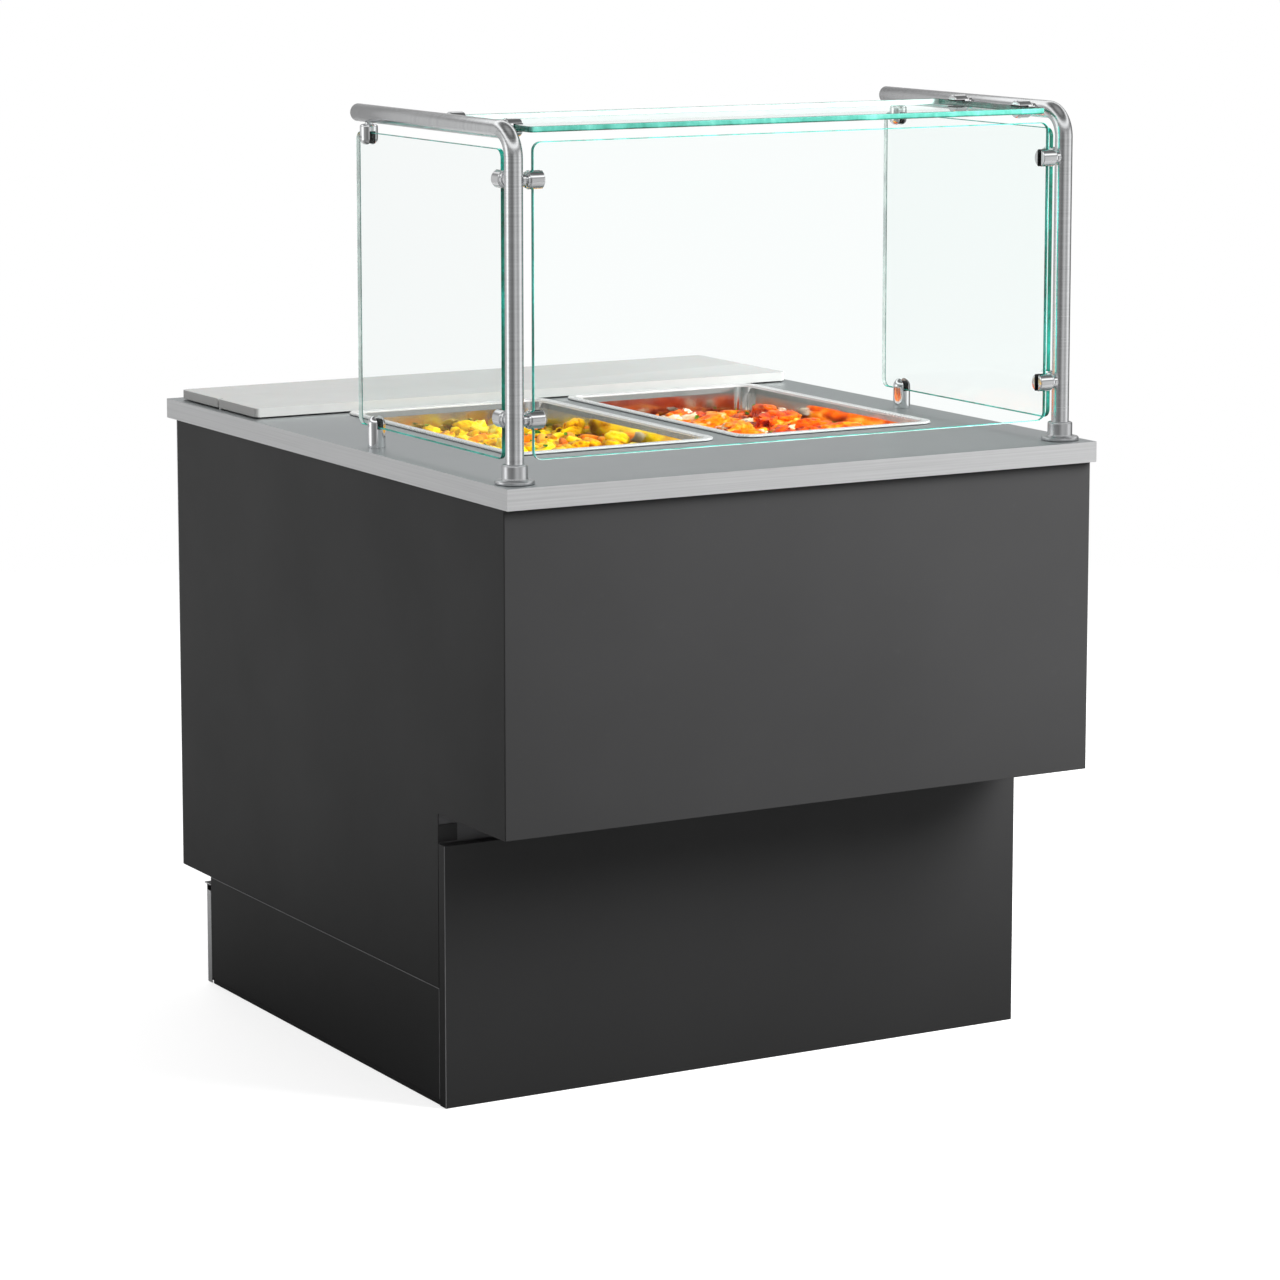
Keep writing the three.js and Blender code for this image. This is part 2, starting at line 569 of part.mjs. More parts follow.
// Round slotted clamp, made along +Y of the lathe from the tube's axis outward.
const clampProfile = [
  [0, 8],
  [5.5, 8],
  [5.5, CLAMP_OFF],
  [CLAMP_R - 2.2, CLAMP_OFF],
  [CLAMP_R, CLAMP_OFF + 2.2],
  [CLAMP_R, CLAMP_OFF + CLAMP_L - 2.2],
  [CLAMP_R - 2.2, CLAMP_OFF + CLAMP_L],
  [0, CLAMP_OFF + CLAMP_L],
];
const SLOT = GLASS_T / 2 + GAP, SHELF_SLOT = SHELF_T / 2 + GAP;
const slotFrom = GLASS_IN - 1, far = CLAMP_OFF + CLAMP_L + 5;
const postCore = (z) => bar("z", POST_X, POST_Y, z - 30, z + 30, TUBE_R + GAP, 20);
const armCore = (y) => bar("y", POST_X, ARM_Z, y - 30, y + 30, TUBE_R + GAP, 20);
CLAMP_Z.forEach((z, i) => {
  const level = i ? "upper" : "lower";
  // Holds the front glass: along X from the post, slot upright in the XZ plane.
  const gx = turned(clampProfile).rotateZ(-Math.PI / 2).translate(POST_X, POST_Y, z);
  const front = cut(solid(gx), postCore(z), block(POST_X + slotFrom, POST_X + far, POST_Y - SLOT, POST_Y + SLOT, z - 20, z + 20));
  place(guard, "clamp_front_" + level + "_left", front, "chrome");
  place(guard, "clamp_front_" + level + "_right", mirrored(front), "chrome");
  // Holds the side glass: along Y from the post, slot upright in the YZ plane.
  const gy = turned(clampProfile).translate(POST_X, POST_Y, z);
  const sideways = cut(solid(gy), postCore(z), block(POST_X - SLOT, POST_X + SLOT, POST_Y + slotFrom + 1, POST_Y + far, z - 20, z + 20));
  place(guard, "clamp_side_" + level + "_left", sideways, "chrome");
  place(guard, "clamp_side_" + level + "_right", mirrored(sideways), "chrome");
});
SHELF_CLAMP_Y.forEach((y, i) => {
  const where = i ? "rear" : "front";
  const g = turned(clampProfile).rotateZ(-Math.PI / 2).translate(POST_X, y, ARM_Z);
  const shelf = cut(solid(g), armCore(y), block(POST_X + slotFrom, POST_X + far, y - 20, y + 20, ARM_Z - SHELF_SLOT, ARM_Z + SHELF_SLOT));
  place(guard, "clamp_top_" + where + "_left", shelf, "chrome");
  place(guard, "clamp_top_" + where + "_right", mirrored(shelf), "chrome");
});
// Hanger under the arm's rear end, slot open downwards.
{
  const drop = [[0, 8], [5, 8], [5, 14], [9.5, 14], [12, 16.5], [12.2, 34], [10.5, 39], [6, 41.5], [0, 42]];
  const g = turned(drop).rotateX(-Math.PI / 2).translate(POST_X, HANGER_Y, ARM_Z);
  const hanger = cut(solid(g), armCore(HANGER_Y), block(POST_X - SLOT, POST_X + SLOT, HANGER_Y - 20, HANGER_Y + 20, ARM_Z - 60, SIDE_GLASS_TOP + GAP));
  place(guard, "hanger_rear_left", hanger, "chrome");
  place(guard, "hanger_rear_right", mirrored(hanger), "chrome");
}
// Standoff on the countertop, domed, slot open upwards.
{
  const h = STANDOFF_TOP - TOP_Z - GAP;
  const rise = [[0, 0], [12.2, 0], [12.2, h - 12], [11.2, h - 7], [8.6, h - 3.4], [4.6, h - 0.9], [0, h]];
  const g = turned(rise).rotateX(Math.PI / 2).translate(POST_X, STANDOFF_Y, TOP_Z + GAP);
  const standoff = cut(solid(g), block(POST_X - SLOT, POST_X + SLOT, STANDOFF_Y - 20, STANDOFF_Y + 20, GLASS_BOT - 1 - GAP, STANDOFF_TOP + 10));
  place(guard, "standoff_left", standoff, "chrome");
  place(guard, "standoff_right", mirrored(standoff), "chrome");
}

export default root;
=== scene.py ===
import json
import math
import random

import bmesh
import bpy
from mathutils import Matrix, Vector, noise

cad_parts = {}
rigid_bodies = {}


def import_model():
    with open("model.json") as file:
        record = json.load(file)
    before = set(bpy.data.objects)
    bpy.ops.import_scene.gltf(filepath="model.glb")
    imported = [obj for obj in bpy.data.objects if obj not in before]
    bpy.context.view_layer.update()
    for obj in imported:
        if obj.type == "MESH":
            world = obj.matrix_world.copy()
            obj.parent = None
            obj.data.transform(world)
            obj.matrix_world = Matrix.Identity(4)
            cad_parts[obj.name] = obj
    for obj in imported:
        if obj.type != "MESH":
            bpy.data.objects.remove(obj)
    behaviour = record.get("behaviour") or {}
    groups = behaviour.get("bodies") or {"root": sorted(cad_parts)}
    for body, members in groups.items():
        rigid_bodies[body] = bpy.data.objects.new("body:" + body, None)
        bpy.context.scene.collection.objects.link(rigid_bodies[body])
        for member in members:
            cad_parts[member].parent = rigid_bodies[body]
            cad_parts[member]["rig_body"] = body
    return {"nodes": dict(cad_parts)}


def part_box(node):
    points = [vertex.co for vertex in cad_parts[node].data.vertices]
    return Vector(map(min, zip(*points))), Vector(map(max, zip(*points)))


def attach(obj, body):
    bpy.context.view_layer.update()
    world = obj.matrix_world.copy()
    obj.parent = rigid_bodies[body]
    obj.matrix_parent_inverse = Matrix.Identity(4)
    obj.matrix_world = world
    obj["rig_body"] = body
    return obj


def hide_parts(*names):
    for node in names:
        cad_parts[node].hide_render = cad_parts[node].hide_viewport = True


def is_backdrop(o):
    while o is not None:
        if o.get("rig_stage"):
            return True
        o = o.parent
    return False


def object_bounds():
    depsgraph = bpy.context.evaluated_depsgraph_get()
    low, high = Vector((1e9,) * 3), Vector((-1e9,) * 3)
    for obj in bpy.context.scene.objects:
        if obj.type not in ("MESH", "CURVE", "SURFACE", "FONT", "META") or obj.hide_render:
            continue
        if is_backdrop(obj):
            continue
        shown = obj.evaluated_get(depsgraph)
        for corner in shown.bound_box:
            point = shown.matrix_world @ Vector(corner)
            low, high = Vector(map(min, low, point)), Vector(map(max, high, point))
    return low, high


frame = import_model()
cad_box = [list(v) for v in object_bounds()]
NODES = frame["nodes"]
LO, HI = (Vector(v) for v in cad_box)

# Every length below is in the case's own millimetres: X from the left end of the worktop, Y from its
# front edge, Z from the floor. P() turns them into the frame's metres.
W, D = (HI.x - LO.x) * 1000, (HI.y - LO.y) * 1000
TOP_Z = 857.0
POST_X, POST_Y, TUBE_R, BEND_R, ARM_Z, ARM_END = 33.0, 41.0, 12.0, 36.0, 1308.0, 486.0
PAN_X, PAN_Y, PAN_TOP = (310.0, 667.0), 521.0, 861.0
BOARD = dict(x0=14.0, x1=899.0, y0=786.0, y1=1043.0, z0=859.0, z1=872.0)
REAR_Y = 1037.0


def P(x, y, z):
    return Vector((LO.x + x / 1000, LO.y + y / 1000, LO.z + z / 1000))


def mx(x, side):
    return x if side == "left" else W - x


def mm(node):
    """A CAD node's box in the case's own millimetres."""
    a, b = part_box(node)
    return [(p - LO) * 1000 for p in (a, b)]


# ------------------------------------------------------------------ materials
class Mat:
    """A material with a Principled shader and helpers for the node tree that feeds it."""

    def __init__(self, name):
        self.m = bpy.data.materials.new(name)
        self.m.use_nodes = True
        self.nt = self.m.node_tree
        self.bsdf = self.nt.nodes["Principled BSDF"]
        self.out = self.nt.nodes["Material Output"]
        coord = self.nt.nodes.new("ShaderNodeTexCoord")
        self.obj = coord.outputs["Object"]

    def node(self, kind, **values):
        n = self.nt.nodes.new(kind)
        for k, v in values.items():
            if hasattr(n, k):
                setattr(n, k, v)
            else:
                n.inputs[k.replace("_", " ")].default_value = v
        return n

    def link(self, a, b):
        self.nt.links.new(a, b)

    def scaled(self, scale):
        n = self.node("ShaderNodeMapping")
        n.inputs["Scale"].default_value = scale
        self.link(self.obj, n.inputs["Vector"])
        return n.outputs["Vector"]

    def noise(self, scale, detail=3.0, rough=0.5, vector=None, distortion=0.0):
        n = self.node("ShaderNodeTexNoise")
        n.inputs["Scale"].default_value = scale
        n.inputs["Detail"].default_value = detail
        n.inputs["Roughness"].default_value = rough
        n.inputs["Distortion"].default_value = distortion
        self.link(self.obj if vector is None else vector, n.inputs["Vector"])
        return n.outputs["Fac"]

    def ramp(self, fac, stops):
        n = self.node("ShaderNodeValToRGB")
        cr = n.color_ramp
        while len(cr.elements) < len(stops):
            cr.elements.new(0.5)
        for e, (pos, col) in zip(cr.elements, stops):
            e.position = pos
            e.color = (*col, 1) if len(col) == 3 else col
        self.link(fac, n.inputs["Fac"])
        return n.outputs["Color"]

    def span(self, fac, lo, hi, a=0.0, b=1.0):
        n = self.node("ShaderNodeMapRange")
        n.inputs["From Min"].default_value = a
        n.inputs["From Max"].default_value = b
        n.inputs["To Min"].default_value = lo
        n.inputs["To Max"].default_value = hi
        self.link(fac, n.inputs["Value"])
        return n.outputs["Result"]

    def mix(self, fac, a, b, kind="MIX"):
        n = self.node("ShaderNodeMix", data_type="RGBA", blend_type=kind)
        for value, name in ((fac, 0), (a, 6), (b, 7)):
            if isinstance(value, (int, float)):
                n.inputs[name].default_value = value
            elif isinstance(value, (tuple, list)):
                n.inputs[name].default_value = (*value, 1) if len(value) == 3 else value
            else:
                self.link(value, n.inputs[name])
        return n.outputs[2]

    def math(self, op, a, b=0.0):
        n = self.node("ShaderNodeMath", operation=op)
        for i, v in enumerate((a, b)):
            if isinstance(v, (int, float)):
                n.inputs[i].default_value = v
            else:
                self.link(v, n.inputs[i])
        return n.outputs[0]

    def bump(self, height, distance, strength=1.0, normal=None):
        n = self.node("ShaderNodeBump")
        n.inputs["Distance"].default_value = distance
        n.inputs["Strength"].default_value = strength
        self.link(height, n.inputs["Height"])
        if normal is not None:
            self.link(normal, n.inputs["Normal"])
        return n.outputs["Normal"]

    def set(self, **values):
        for k, v in values.items():
            socket = self.bsdf.inputs[k.replace("_", " ")]
            if isinstance(v, (int, float)):
                socket.default_value = v
            elif isinstance(v, (tuple, list)):
                socket.default_value = (*v, 1) if len(v) == 3 and socket.type == "RGBA" else v
            else:
                self.link(v, socket)
        return self


def brushed(name, base, along, rough=(0.26, 0.36), grain=0.05, scale=1.0, depth=0.00002, metal=1.0):
    """Brushed stainless steel; along is the direction of the grain."""
    m = Mat(name)
    stretch = {"x": (3, 420, 420), "y": (420, 3, 420), "z": (420, 420, 3), "round_z": (5, 5, 700), "round_y": (5, 700, 5)}[along]
    lines = m.noise(scale, 4, 0.65, m.scaled(stretch))
    fine = m.noise(scale * 3.1, 2, 0.5, m.scaled(stretch))
    cloud = m.noise(5.0, 3, 0.5)
    dark = tuple(c * (1 - grain * 2.2) for c in base)
    light = tuple(min(1, c * (1 + grain * 1.6)) for c in base)
    col = m.ramp(lines, [(0.25, dark), (0.5, base), (0.75, light)])
    col = m.mix(m.span(cloud, 0.0, 0.18, 0.3, 0.7), col, tuple(c * 0.86 for c in base))
    m.set(
        Base_Color=col,
        Metallic=metal,
        Roughness=m.span(m.math("ADD", m.math("MULTIPLY", lines, 0.6), m.math("MULTIPLY", cloud, 0.4)), rough[0], rough[1], 0.3, 0.7),
        Normal=m.bump(m.math("ADD", lines, fine), depth, 0.8),
    )
    return m.m


# painted shade: a ramp over height that darkens the powder coat toward the floor
FLOOR_SHADE_RAMP = [(0.0, (0.50, 0.50, 0.50)), (0.12, (0.60, 0.60, 0.60)), (0.34, (0.86, 0.86, 0.86)), (0.45, (0.93, 0.93, 0.93)), (0.86, (1.0, 1.0, 1.0))]


def powder_coat(name, base, rough):
    m = Mat(name)
    peel = m.noise(650, 2, 0.5)
    grit = m.noise(2600, 1, 0.5)
    cloud = m.noise(3.0, 4, 0.55)
    dust = m.noise(60, 5, 0.7)
    col = m.mix(m.span(cloud, 0, 0.5, 0.35, 0.65), base, tuple(c * 0.84 for c in base))
    col = m.mix(m.span(dust, 0, 0.35, 0.62, 0.9), col, tuple(c * 1.5 + 0.004 for c in base))
    # painted shade: the coating is darker toward the floor
    parts = m.node("ShaderNodeSeparateXYZ")
    m.link(m.obj, parts.inputs["Vector"])
    low = m.ramp(m.math("ADD", parts.outputs["Z"], m.math("MULTIPLY", m.math("SUBTRACT", cloud, 0.5), 0.05)), FLOOR_SHADE_RAMP)
    col = m.mix(1.0, col, low, "MULTIPLY")
    height = m.math("ADD", m.math("MULTIPLY", peel, 0.7), m.math("MULTIPLY", grit, 0.3))
    m.set(
        Base_Color=col,
        Metallic=0.0,
        Roughness=m.span(cloud, rough - 0.03, rough + 0.05, 0.3, 0.7),
        Specular_IOR_Level=0.22,
        Normal=m.bump(height, 0.00012, 0.35),
    )
    return m.m


def polished(name, base, rough=0.10):
    m = Mat(name)
    smear = m.noise(140, 4, 0.6)
    fine = m.noise(1.0, 3, 0.6, m.scaled((900, 900, 60)))
    m.set(
        Base_Color=m.ramp(smear, [(0.2, tuple(c * 0.93 for c in base)), (0.8, base)]),
        Metallic=1.0,
        Roughness=m.span(smear, rough * 0.7, rough * 1.5, 0.3, 0.7),
        Normal=m.bump(fine, 0.00001, 0.5),
    )
    return m.m


def plastic(name, base, rough, spec=0.5, grain=900, depth=0.00006, var=0.12):
    m = Mat(name)
    cloud = m.noise(40, 3, 0.5)
    cell = m.noise(grain, 2, 0.5)
    m.set(
        Base_Color=m.ramp(cloud, [(0.3, tuple(c * (1 - var) for c in base)), (0.7, tuple(min(1, c * (1 + var * 0.5)) for c in base))]),
        Roughness=m.span(cloud, rough - 0.04, rough + 0.06, 0.3, 0.7),
        Specular_IOR_Level=spec,
        Normal=m.bump(cell, depth, 0.5),
    )
    return m.m


def glass_face(name="float_glass", index_of=1.2, mirror=(0.80, 0.84, 0.83)):
    """Clear float glass: see-through with a faint aqua cast, and a mirror share that grows at grazing angles."""
    m = Mat(name)
    nt = m.nt
    clear = nt.nodes.new("ShaderNodeBsdfTransparent")
    haze = m.noise(2.2, 3, 0.5)
    tint = m.ramp(haze, [(0.3, (0.980, 0.997, 0.992)), (0.7, (0.986, 0.998, 0.995))])
    nt.links.new(tint, clear.inputs["Color"])
    gloss = nt.nodes.new("ShaderNodeBsdfGlossy")
    gloss.inputs["Color"].default_value = (*mirror, 1)
    gloss.inputs["Roughness"].default_value = 0.015
    fres = nt.nodes.new("ShaderNodeFresnel")
    back = nt.nodes.new("ShaderNodeNewGeometry")
    index = nt.nodes.new("ShaderNodeMapRange")  # the same mirror share on the way in and on the way out
    index.inputs["To Min"].default_value, index.inputs["To Max"].default_value = index_of, 1 / index_of
    nt.links.new(back.outputs["Backfacing"], index.inputs["Value"])
    nt.links.new(index.outputs["Result"], fres.inputs["IOR"])
    mixer = nt.nodes.new("ShaderNodeMixShader")
    nt.links.new(fres.outputs[0], mixer.inputs[0])
    nt.links.new(clear.outputs[0], mixer.inputs[1])
    nt.links.new(gloss.outputs[0], mixer.inputs[2])
    nt.links.new(mixer.outputs[0], m.out.inputs["Surface"])
    nt.nodes.remove(m.bsdf)
    return m.m


def glass_edge(name, dark, mid, light, contrast=(0.34, 0.5, 0.66)):
    """The ground and polished edge of float glass, where the light that the pane collects comes out green; the green
    tint is the glass's own, its glow is painted light.
    """
    m = Mat(name)
    run = m.noise(1.0, 3, 0.6, m.scaled((38, 38, 14)))
    fine = m.noise(240, 2, 0.5)
    tone = m.math("ADD", m.math("MULTIPLY", run, 0.8), m.math("MULTIPLY", fine, 0.2))
    m.set(
        Base_Color=m.ramp(tone, [(contrast[0], dark), (contrast[1], mid), (contrast[2], light)]),
        Roughness=m.span(fine, 0.12, 0.24, 0.3, 0.7),
        Specular_IOR_Level=0.6,
        Coat_Weight=0.5,
        Coat_Roughness=0.05,
    )
    return m.m


BLACK = powder_coat("charcoal_powder_coat", (0.037, 0.037, 0.0375), 0.5)
# a lighter grey for painted highlights along the sheet edges
EDGE_HIGHLIGHT_GREY = plastic("sheet_edge_painted_highlight", (0.18, 0.18, 0.184), 0.4)
# painted light: a lighter copy of the charcoal coat for the inner front wall, so it reads lighter where it shows in the
# notch
CHARCOAL_LIT_COPY = powder_coat("charcoal_coat_painted_light", (0.16, 0.16, 0.165), 0.55)
STEEL_X = brushed("brushed_steel_x", (0.72, 0.725, 0.73), "x")
STEEL_Y = brushed("brushed_steel_y", (0.52, 0.53, 0.54), "y")
STEEL_Z = brushed("brushed_steel_z", (0.62, 0.63, 0.64), "z")
DOOR_STEEL = brushed("door_steel", (0.74, 0.745, 0.75), "x", rough=(0.28, 0.38))
# the upright and the arm are one bent tube; the arm's lighter copy of the steel is painted light
TUBE_STEEL = brushed("guard_tube_steel", (0.72, 0.73, 0.74), "round_z", rough=(0.16, 0.28), grain=0.07, depth=0.00002)
ARM_STEEL = brushed("guard_arm_steel", (0.80, 0.81, 0.82), "round_y", rough=(0.16, 0.28), grain=0.06, depth=0.00002)
# The worktop's top, front band and side band are one stainless sheet; their different base tones are painted light and
# shade, the front band lightest
WORKTOP = brushed("satin_worktop_top", (0.55, 0.58, 0.59), "x", rough=(0.34, 0.42), grain=0.03)
BAND_X = brushed("worktop_band_front", (0.90, 0.905, 0.91), "x", rough=(0.30, 0.40), grain=0.06, depth=0.00004)
BAND_Y = brushed("worktop_band_side", (0.68, 0.685, 0.69), "y", rough=(0.32, 0.42), grain=0.05, depth=0.00004)
PAN_STEEL = brushed("drawn_pan_steel", (0.74, 0.73, 0.71), "z", rough=(0.08, 0.15), grain=0.03)
# painted highlight: the rim steel is given a pale, part-diffuse colour so that it shows as a bright band
PAN_RIM = brushed("pan_rim_steel", (0.86, 0.86, 0.86), "x", rough=(0.22, 0.30), grain=0.02, metal=0.62)
WELL_STEEL = brushed("well_steel", (0.55, 0.55, 0.55), "z", rough=(0.24, 0.34))
CHROME = polished("polished_steel", (0.88, 0.89, 0.90), 0.09)
SCREW = polished("screw_steel", (0.62, 0.62, 0.63), 0.22)
RUBBER = plastic("black_rubber", (0.012, 0.012, 0.013), 0.7, spec=0.3)
PHENOLIC = plastic("black_phenolic", (0.018, 0.018, 0.019), 0.38, spec=0.5)
MARK = plastic("white_marking", (0.82, 0.82, 0.80), 0.5)
RED = plastic("red_moulding", (0.55, 0.022, 0.014), 0.22, spec=0.6)
LAMP = plastic("red_lens", (0.62, 0.05, 0.03), 0.10, spec=0.7)
SHEATH = brushed("element_sheath", (0.20, 0.175, 0.16), "y", rough=(0.42, 0.6), grain=0.2)
BRASS = polished("drawn_brass", (0.56, 0.40, 0.17), 0.24)
GLASS = glass_face()
GLASS_SHELF = glass_face("float_glass_shelf", 1.006, (0.94, 1.0, 0.98))
# copies of the glass edge from lit to shaded, and rear and faint ones: painted light and shade on the edges
EDGE_BRIGHT = glass_edge("glass_edge_bright", (0.0, 0.20, 0.14), (0.01, 0.44, 0.35), (0.08, 0.70, 0.60), (0.38, 0.5, 0.6))
EDGE_DARK = glass_edge("glass_edge_dark", (0.0, 0.045, 0.026), (0.0, 0.12, 0.08), (0.008, 0.30, 0.23))
EDGE_PALE = glass_edge("glass_edge_pale", (0.03, 0.22, 0.165), (0.07, 0.32, 0.26), (0.15, 0.45, 0.38), (0.3, 0.5, 0.7))
EDGE_REAR = glass_edge("glass_edge_rear", (0.20, 0.22, 0.22), (0.30, 0.33, 0.32), (0.42, 0.45, 0.44))
EDGE_FAINT = glass_edge("glass_edge_faint", (0.50, 0.72, 0.67), (0.64, 0.82, 0.77), (0.78, 0.92, 0.88))

# ------------------------------------------------------------------ mesh helpers
COLL = bpy.context.scene.collection


def finish_mesh(name, bm, mats, body, replaces=(), smooth=38, weighted=True, recalc=True):
    if recalc:
        bmesh.ops.recalc_face_normals(bm, faces=bm.faces)
    me = bpy.data.meshes.new(name)
    bm.to_mesh(me)
    bm.free()
    for m in mats if isinstance(mats, (list, tuple)) else [mats]:
        me.materials.append(m)
    me.shade_smooth()
    me.set_sharp_from_angle(angle=math.radians(smooth))
    ob = bpy.data.objects.new(name, me)
    COLL.objects.link(ob)
    if weighted:
        w = ob.modifiers.new("weighted", "WEIGHTED_NORMAL")
        w.keep_sharp = True
    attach(ob, body)
    if replaces:
        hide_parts(*([replaces] if isinstance(replaces, str) else replaces))
    return ob


def body_of_node(node):
    return NODES[node]["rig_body"]


def sharp_edges(bm, angle):
    lim = math.radians(angle)
    return [e for e in bm.edges if len(e.link_faces) == 2 and e.calc_face_angle(0.0) > lim]


def bevel(bm, width, segments=2, angle=35, edges=None):
    edges = sharp_edges(bm, angle) if edges is None else edges
    if edges:
        bmesh.ops.bevel(bm, geom=edges, offset=width / 1000, offset_type="OFFSET", segments=segments, profile=0.5, affect="EDGES", clamp_overlap=True)


def cad_copy(node):
    """The CAD node's own solid, cleaned of its triangulation, to finish in Blender."""
    bm = bmesh.new()
    bm.from_mesh(NODES[node].data)
    bmesh.ops.remove_doubles(bm, verts=bm.verts, dist=2e-6)
    bmesh.ops.dissolve_limit(bm, angle_limit=math.radians(0.8), verts=bm.verts, edges=bm.edges, delimit=set())
    return bm


def skin(node, mats, width=0.6, segments=2, angle=35, paint=None, suffix="_sheet"):
    """Finishes a sheet or block of the CAD model: folded edges get their small radius."""
    bm = cad_copy(node)
    bevel(bm, width, segments, angle)
    bm.normal_update()
    if paint:
        for f in bm.faces:
            f.material_index = paint(f)
    return finish_mesh(node + suffix, bm, mats, body_of_node(node), node)


def add_box(bm, x0, x1, y0, y1, z0, z1):
    """A block in the case's millimetres."""
    vs = [bm.verts.new(P(x, y, z)) for z in (z0, z1) for y in (y0, y1) for x in (x0, x1)]
    for q in ((0, 2, 3, 1), (4, 5, 7, 6), (0, 1, 5, 4), (2, 6, 7, 3), (0, 4, 6, 2), (1, 3, 7, 5)):
        bm.faces.new([vs[i] for i in q])
    return vs


def basis(axis, up=None):
    a = Vector(axis).normalized()
    u = Vector(up) if up else (Vector((0, 0, 1)) if abs(a.z) < 0.9 else Vector((1, 0, 0)))
    b = a.cross(u).normalized()
    return a, b, a.cross(b).normalized()


def add_lathe(bm, centre, axis, profile, seg=48, up=None, material=0):
    """Revolves [radius, height] points (mm) about axis through centre (a point in metres)."""
    a, b, c = basis(axis, up)
    rings = []
    for r, h in profile:
        if r < 1e-6:
            rings.append([bm.verts.new(centre + a * h / 1000)])
        else:
            rings.append([bm.verts.new(centre + a * h / 1000 + (b * math.cos(t) + c * math.sin(t)) * r / 1000) for t in (2 * math.pi * i / seg for i in range(seg))])
    made = []
    for p, q in zip(rings, rings[1:]):
        for i in range(seg):
            j = (i + 1) % seg
            if len(p) == 1 and len(q) == 1:
                continue
            if len(p) == 1:
                made.append(bm.faces.new([p[0], q[i], q[j]]))
            elif len(q) == 1:
                made.append(bm.faces.new([p[i], q[0], p[j]]))
            else:
                made.append(bm.faces.new([p[i], q[i], q[j], p[j]]))
    for f in made:
        f.material_index = material
    return made


def ring_rect(cx, cy, hx, hy, r, z, n=8):
    """A rounded rectangle in the XY plane, as points in metres."""
    pts = []
    for sx, sy, t0 in ((1, -1, -90), (1, 1, 0), (-1, 1, 90), (-1, -1, 180)):
        for k in range(n + 1):
            t = math.radians(t0 + 90 * k / n)
            pts.append(P(cx + sx * (hx - r) + r * math.cos(t), cy + sy * (hy - r) + r * math.sin(t), z))
    return pts


def add_loft(bm, rings, cap_start=True, cap_end=True, closed=True, material=0):
    vr = [[bm.verts.new(p) for p in ring] for ring in rings]
    n = len(vr[0])
    made = []
    for a, b in zip(vr, vr[1:]):
        for i in range(n if closed else n - 1):
            j = (i + 1) % n
            made.append(bm.faces.new([a[i], a[j], b[j], b[i]]))
    if cap_start:
        made.append(bm.faces.new(list(reversed(vr[0]))))
    if cap_end:
        made.append(bm.faces.new(vr[-1]))
    for f in made:
        f.material_index = material
    return vr


def route(points, r, steps):
    """A polyline in mm with its corners rounded to radius r: [(point, tangent)] in metres."""
    pts = [P(*p) for p in points]
    r /= 1000
    out = [(pts[0], (pts[1] - pts[0]).normalized())]
    for i in range(1, len(pts) - 1):
        a, b = (pts[i] - pts[i - 1]).normalized(), (pts[i + 1] - pts[i]).normalized()
        turn = a.angle(b)
        start = pts[i] - a * r * math.tan(turn / 2)
        n = (b - a * a.dot(b)).normalized()
        c = start + n * r
        for k in range(steps + 1):
            t = turn * k / steps
            out.append((c - n * r * math.cos(t) + a * r * math.sin(t), a * math.cos(t) + n * math.sin(t)))
    out.append((pts[-1], (pts[-1] - pts[-2]).normalized()))
    return out


def add_tube(bm, path, radii, seg=32, caps=True, split=None, material=0):
    """A round tube along [(point, tangent)]. radii is one number or one per knot, in mm."""
    _, b, c = basis(path[0][1])
    rings, last = [], path[0][1]
    for k, (p, t) in enumerate(path):
        rot = last.rotation_difference(t)
        b, c, last = rot @ b, rot @ c, t
        r = (radii if isinstance(radii, (int, float)) else radii[k]) / 1000
        rings.append([p + (b * math.cos(2 * math.pi * i / seg) + c * math.sin(2 * math.pi * i / seg)) * r for i in range(seg)])
    return add_loft(bm, rings, caps, caps, material=material)


def add_screw(bm, centre, axis, r=3.6, h=2.0, drive="cross", material=0, seg=24):
    """A pan head with a real recess, sitting on centre and facing along axis."""
    a, b, c = basis(axis)
    if drive == "hex":
        add_lathe(bm, centre, axis, [(0, -0.2), (r, -0.2), (r, h - 0.35), (r - 0.35, h), (r * 0.56, h)], seg, material=material)
        hexa = [[centre + a * z / 1000 + (b * math.cos(math.radians(60 * k)) + c * math.sin(math.radians(60 * k))) * rr / 1000 for k in range(6)] for rr, z in ((r * 0.56, h), (r * 0.5, h - 1.0 * r / 3.6))]
        add_loft(bm, hexa, False, True, material=material)
        return
    dome = [(r * math.sin(t), h * math.cos(t)) for t in (math.radians(90 - 90 * k / 6) for k in range(7))]
    ring = [(0, -0.2), (r, -0.2)] + dome[1:-1]
    add_lathe(bm, centre, axis, ring + [(0, h)], seg, material=material)
    for u, v in ((b, c), (c, b)):
        w, l, d = r * 0.13, r * 0.58, h * 0.12
        vs = [bm.verts.new(centre + (u * su * l + v * sv * w + a * z) / 1000) for z in (h * 0.55, h + d * 0.35) for su, sv in ((-1, -1), (1, -1), (1, 1), (-1, 1))]
        for q in ((0, 3, 2, 1), (4, 5, 6, 7), (0, 1, 5, 4), (1, 2, 6, 5), (2, 3, 7, 6), (3, 0, 4, 7)):
            f = bm.faces.new([vs[i] for i in q])
            f.material_index = material + 1


def temp_object(bm):
    bmesh.ops.recalc_face_normals(bm, faces=bm.faces)
    me = bpy.data.meshes.new("tmp")
    bm.to_mesh(me)
    bm.free()
    ob = bpy.data.objects.new("tmp", me)
    COLL.objects.link(ob)
    return ob


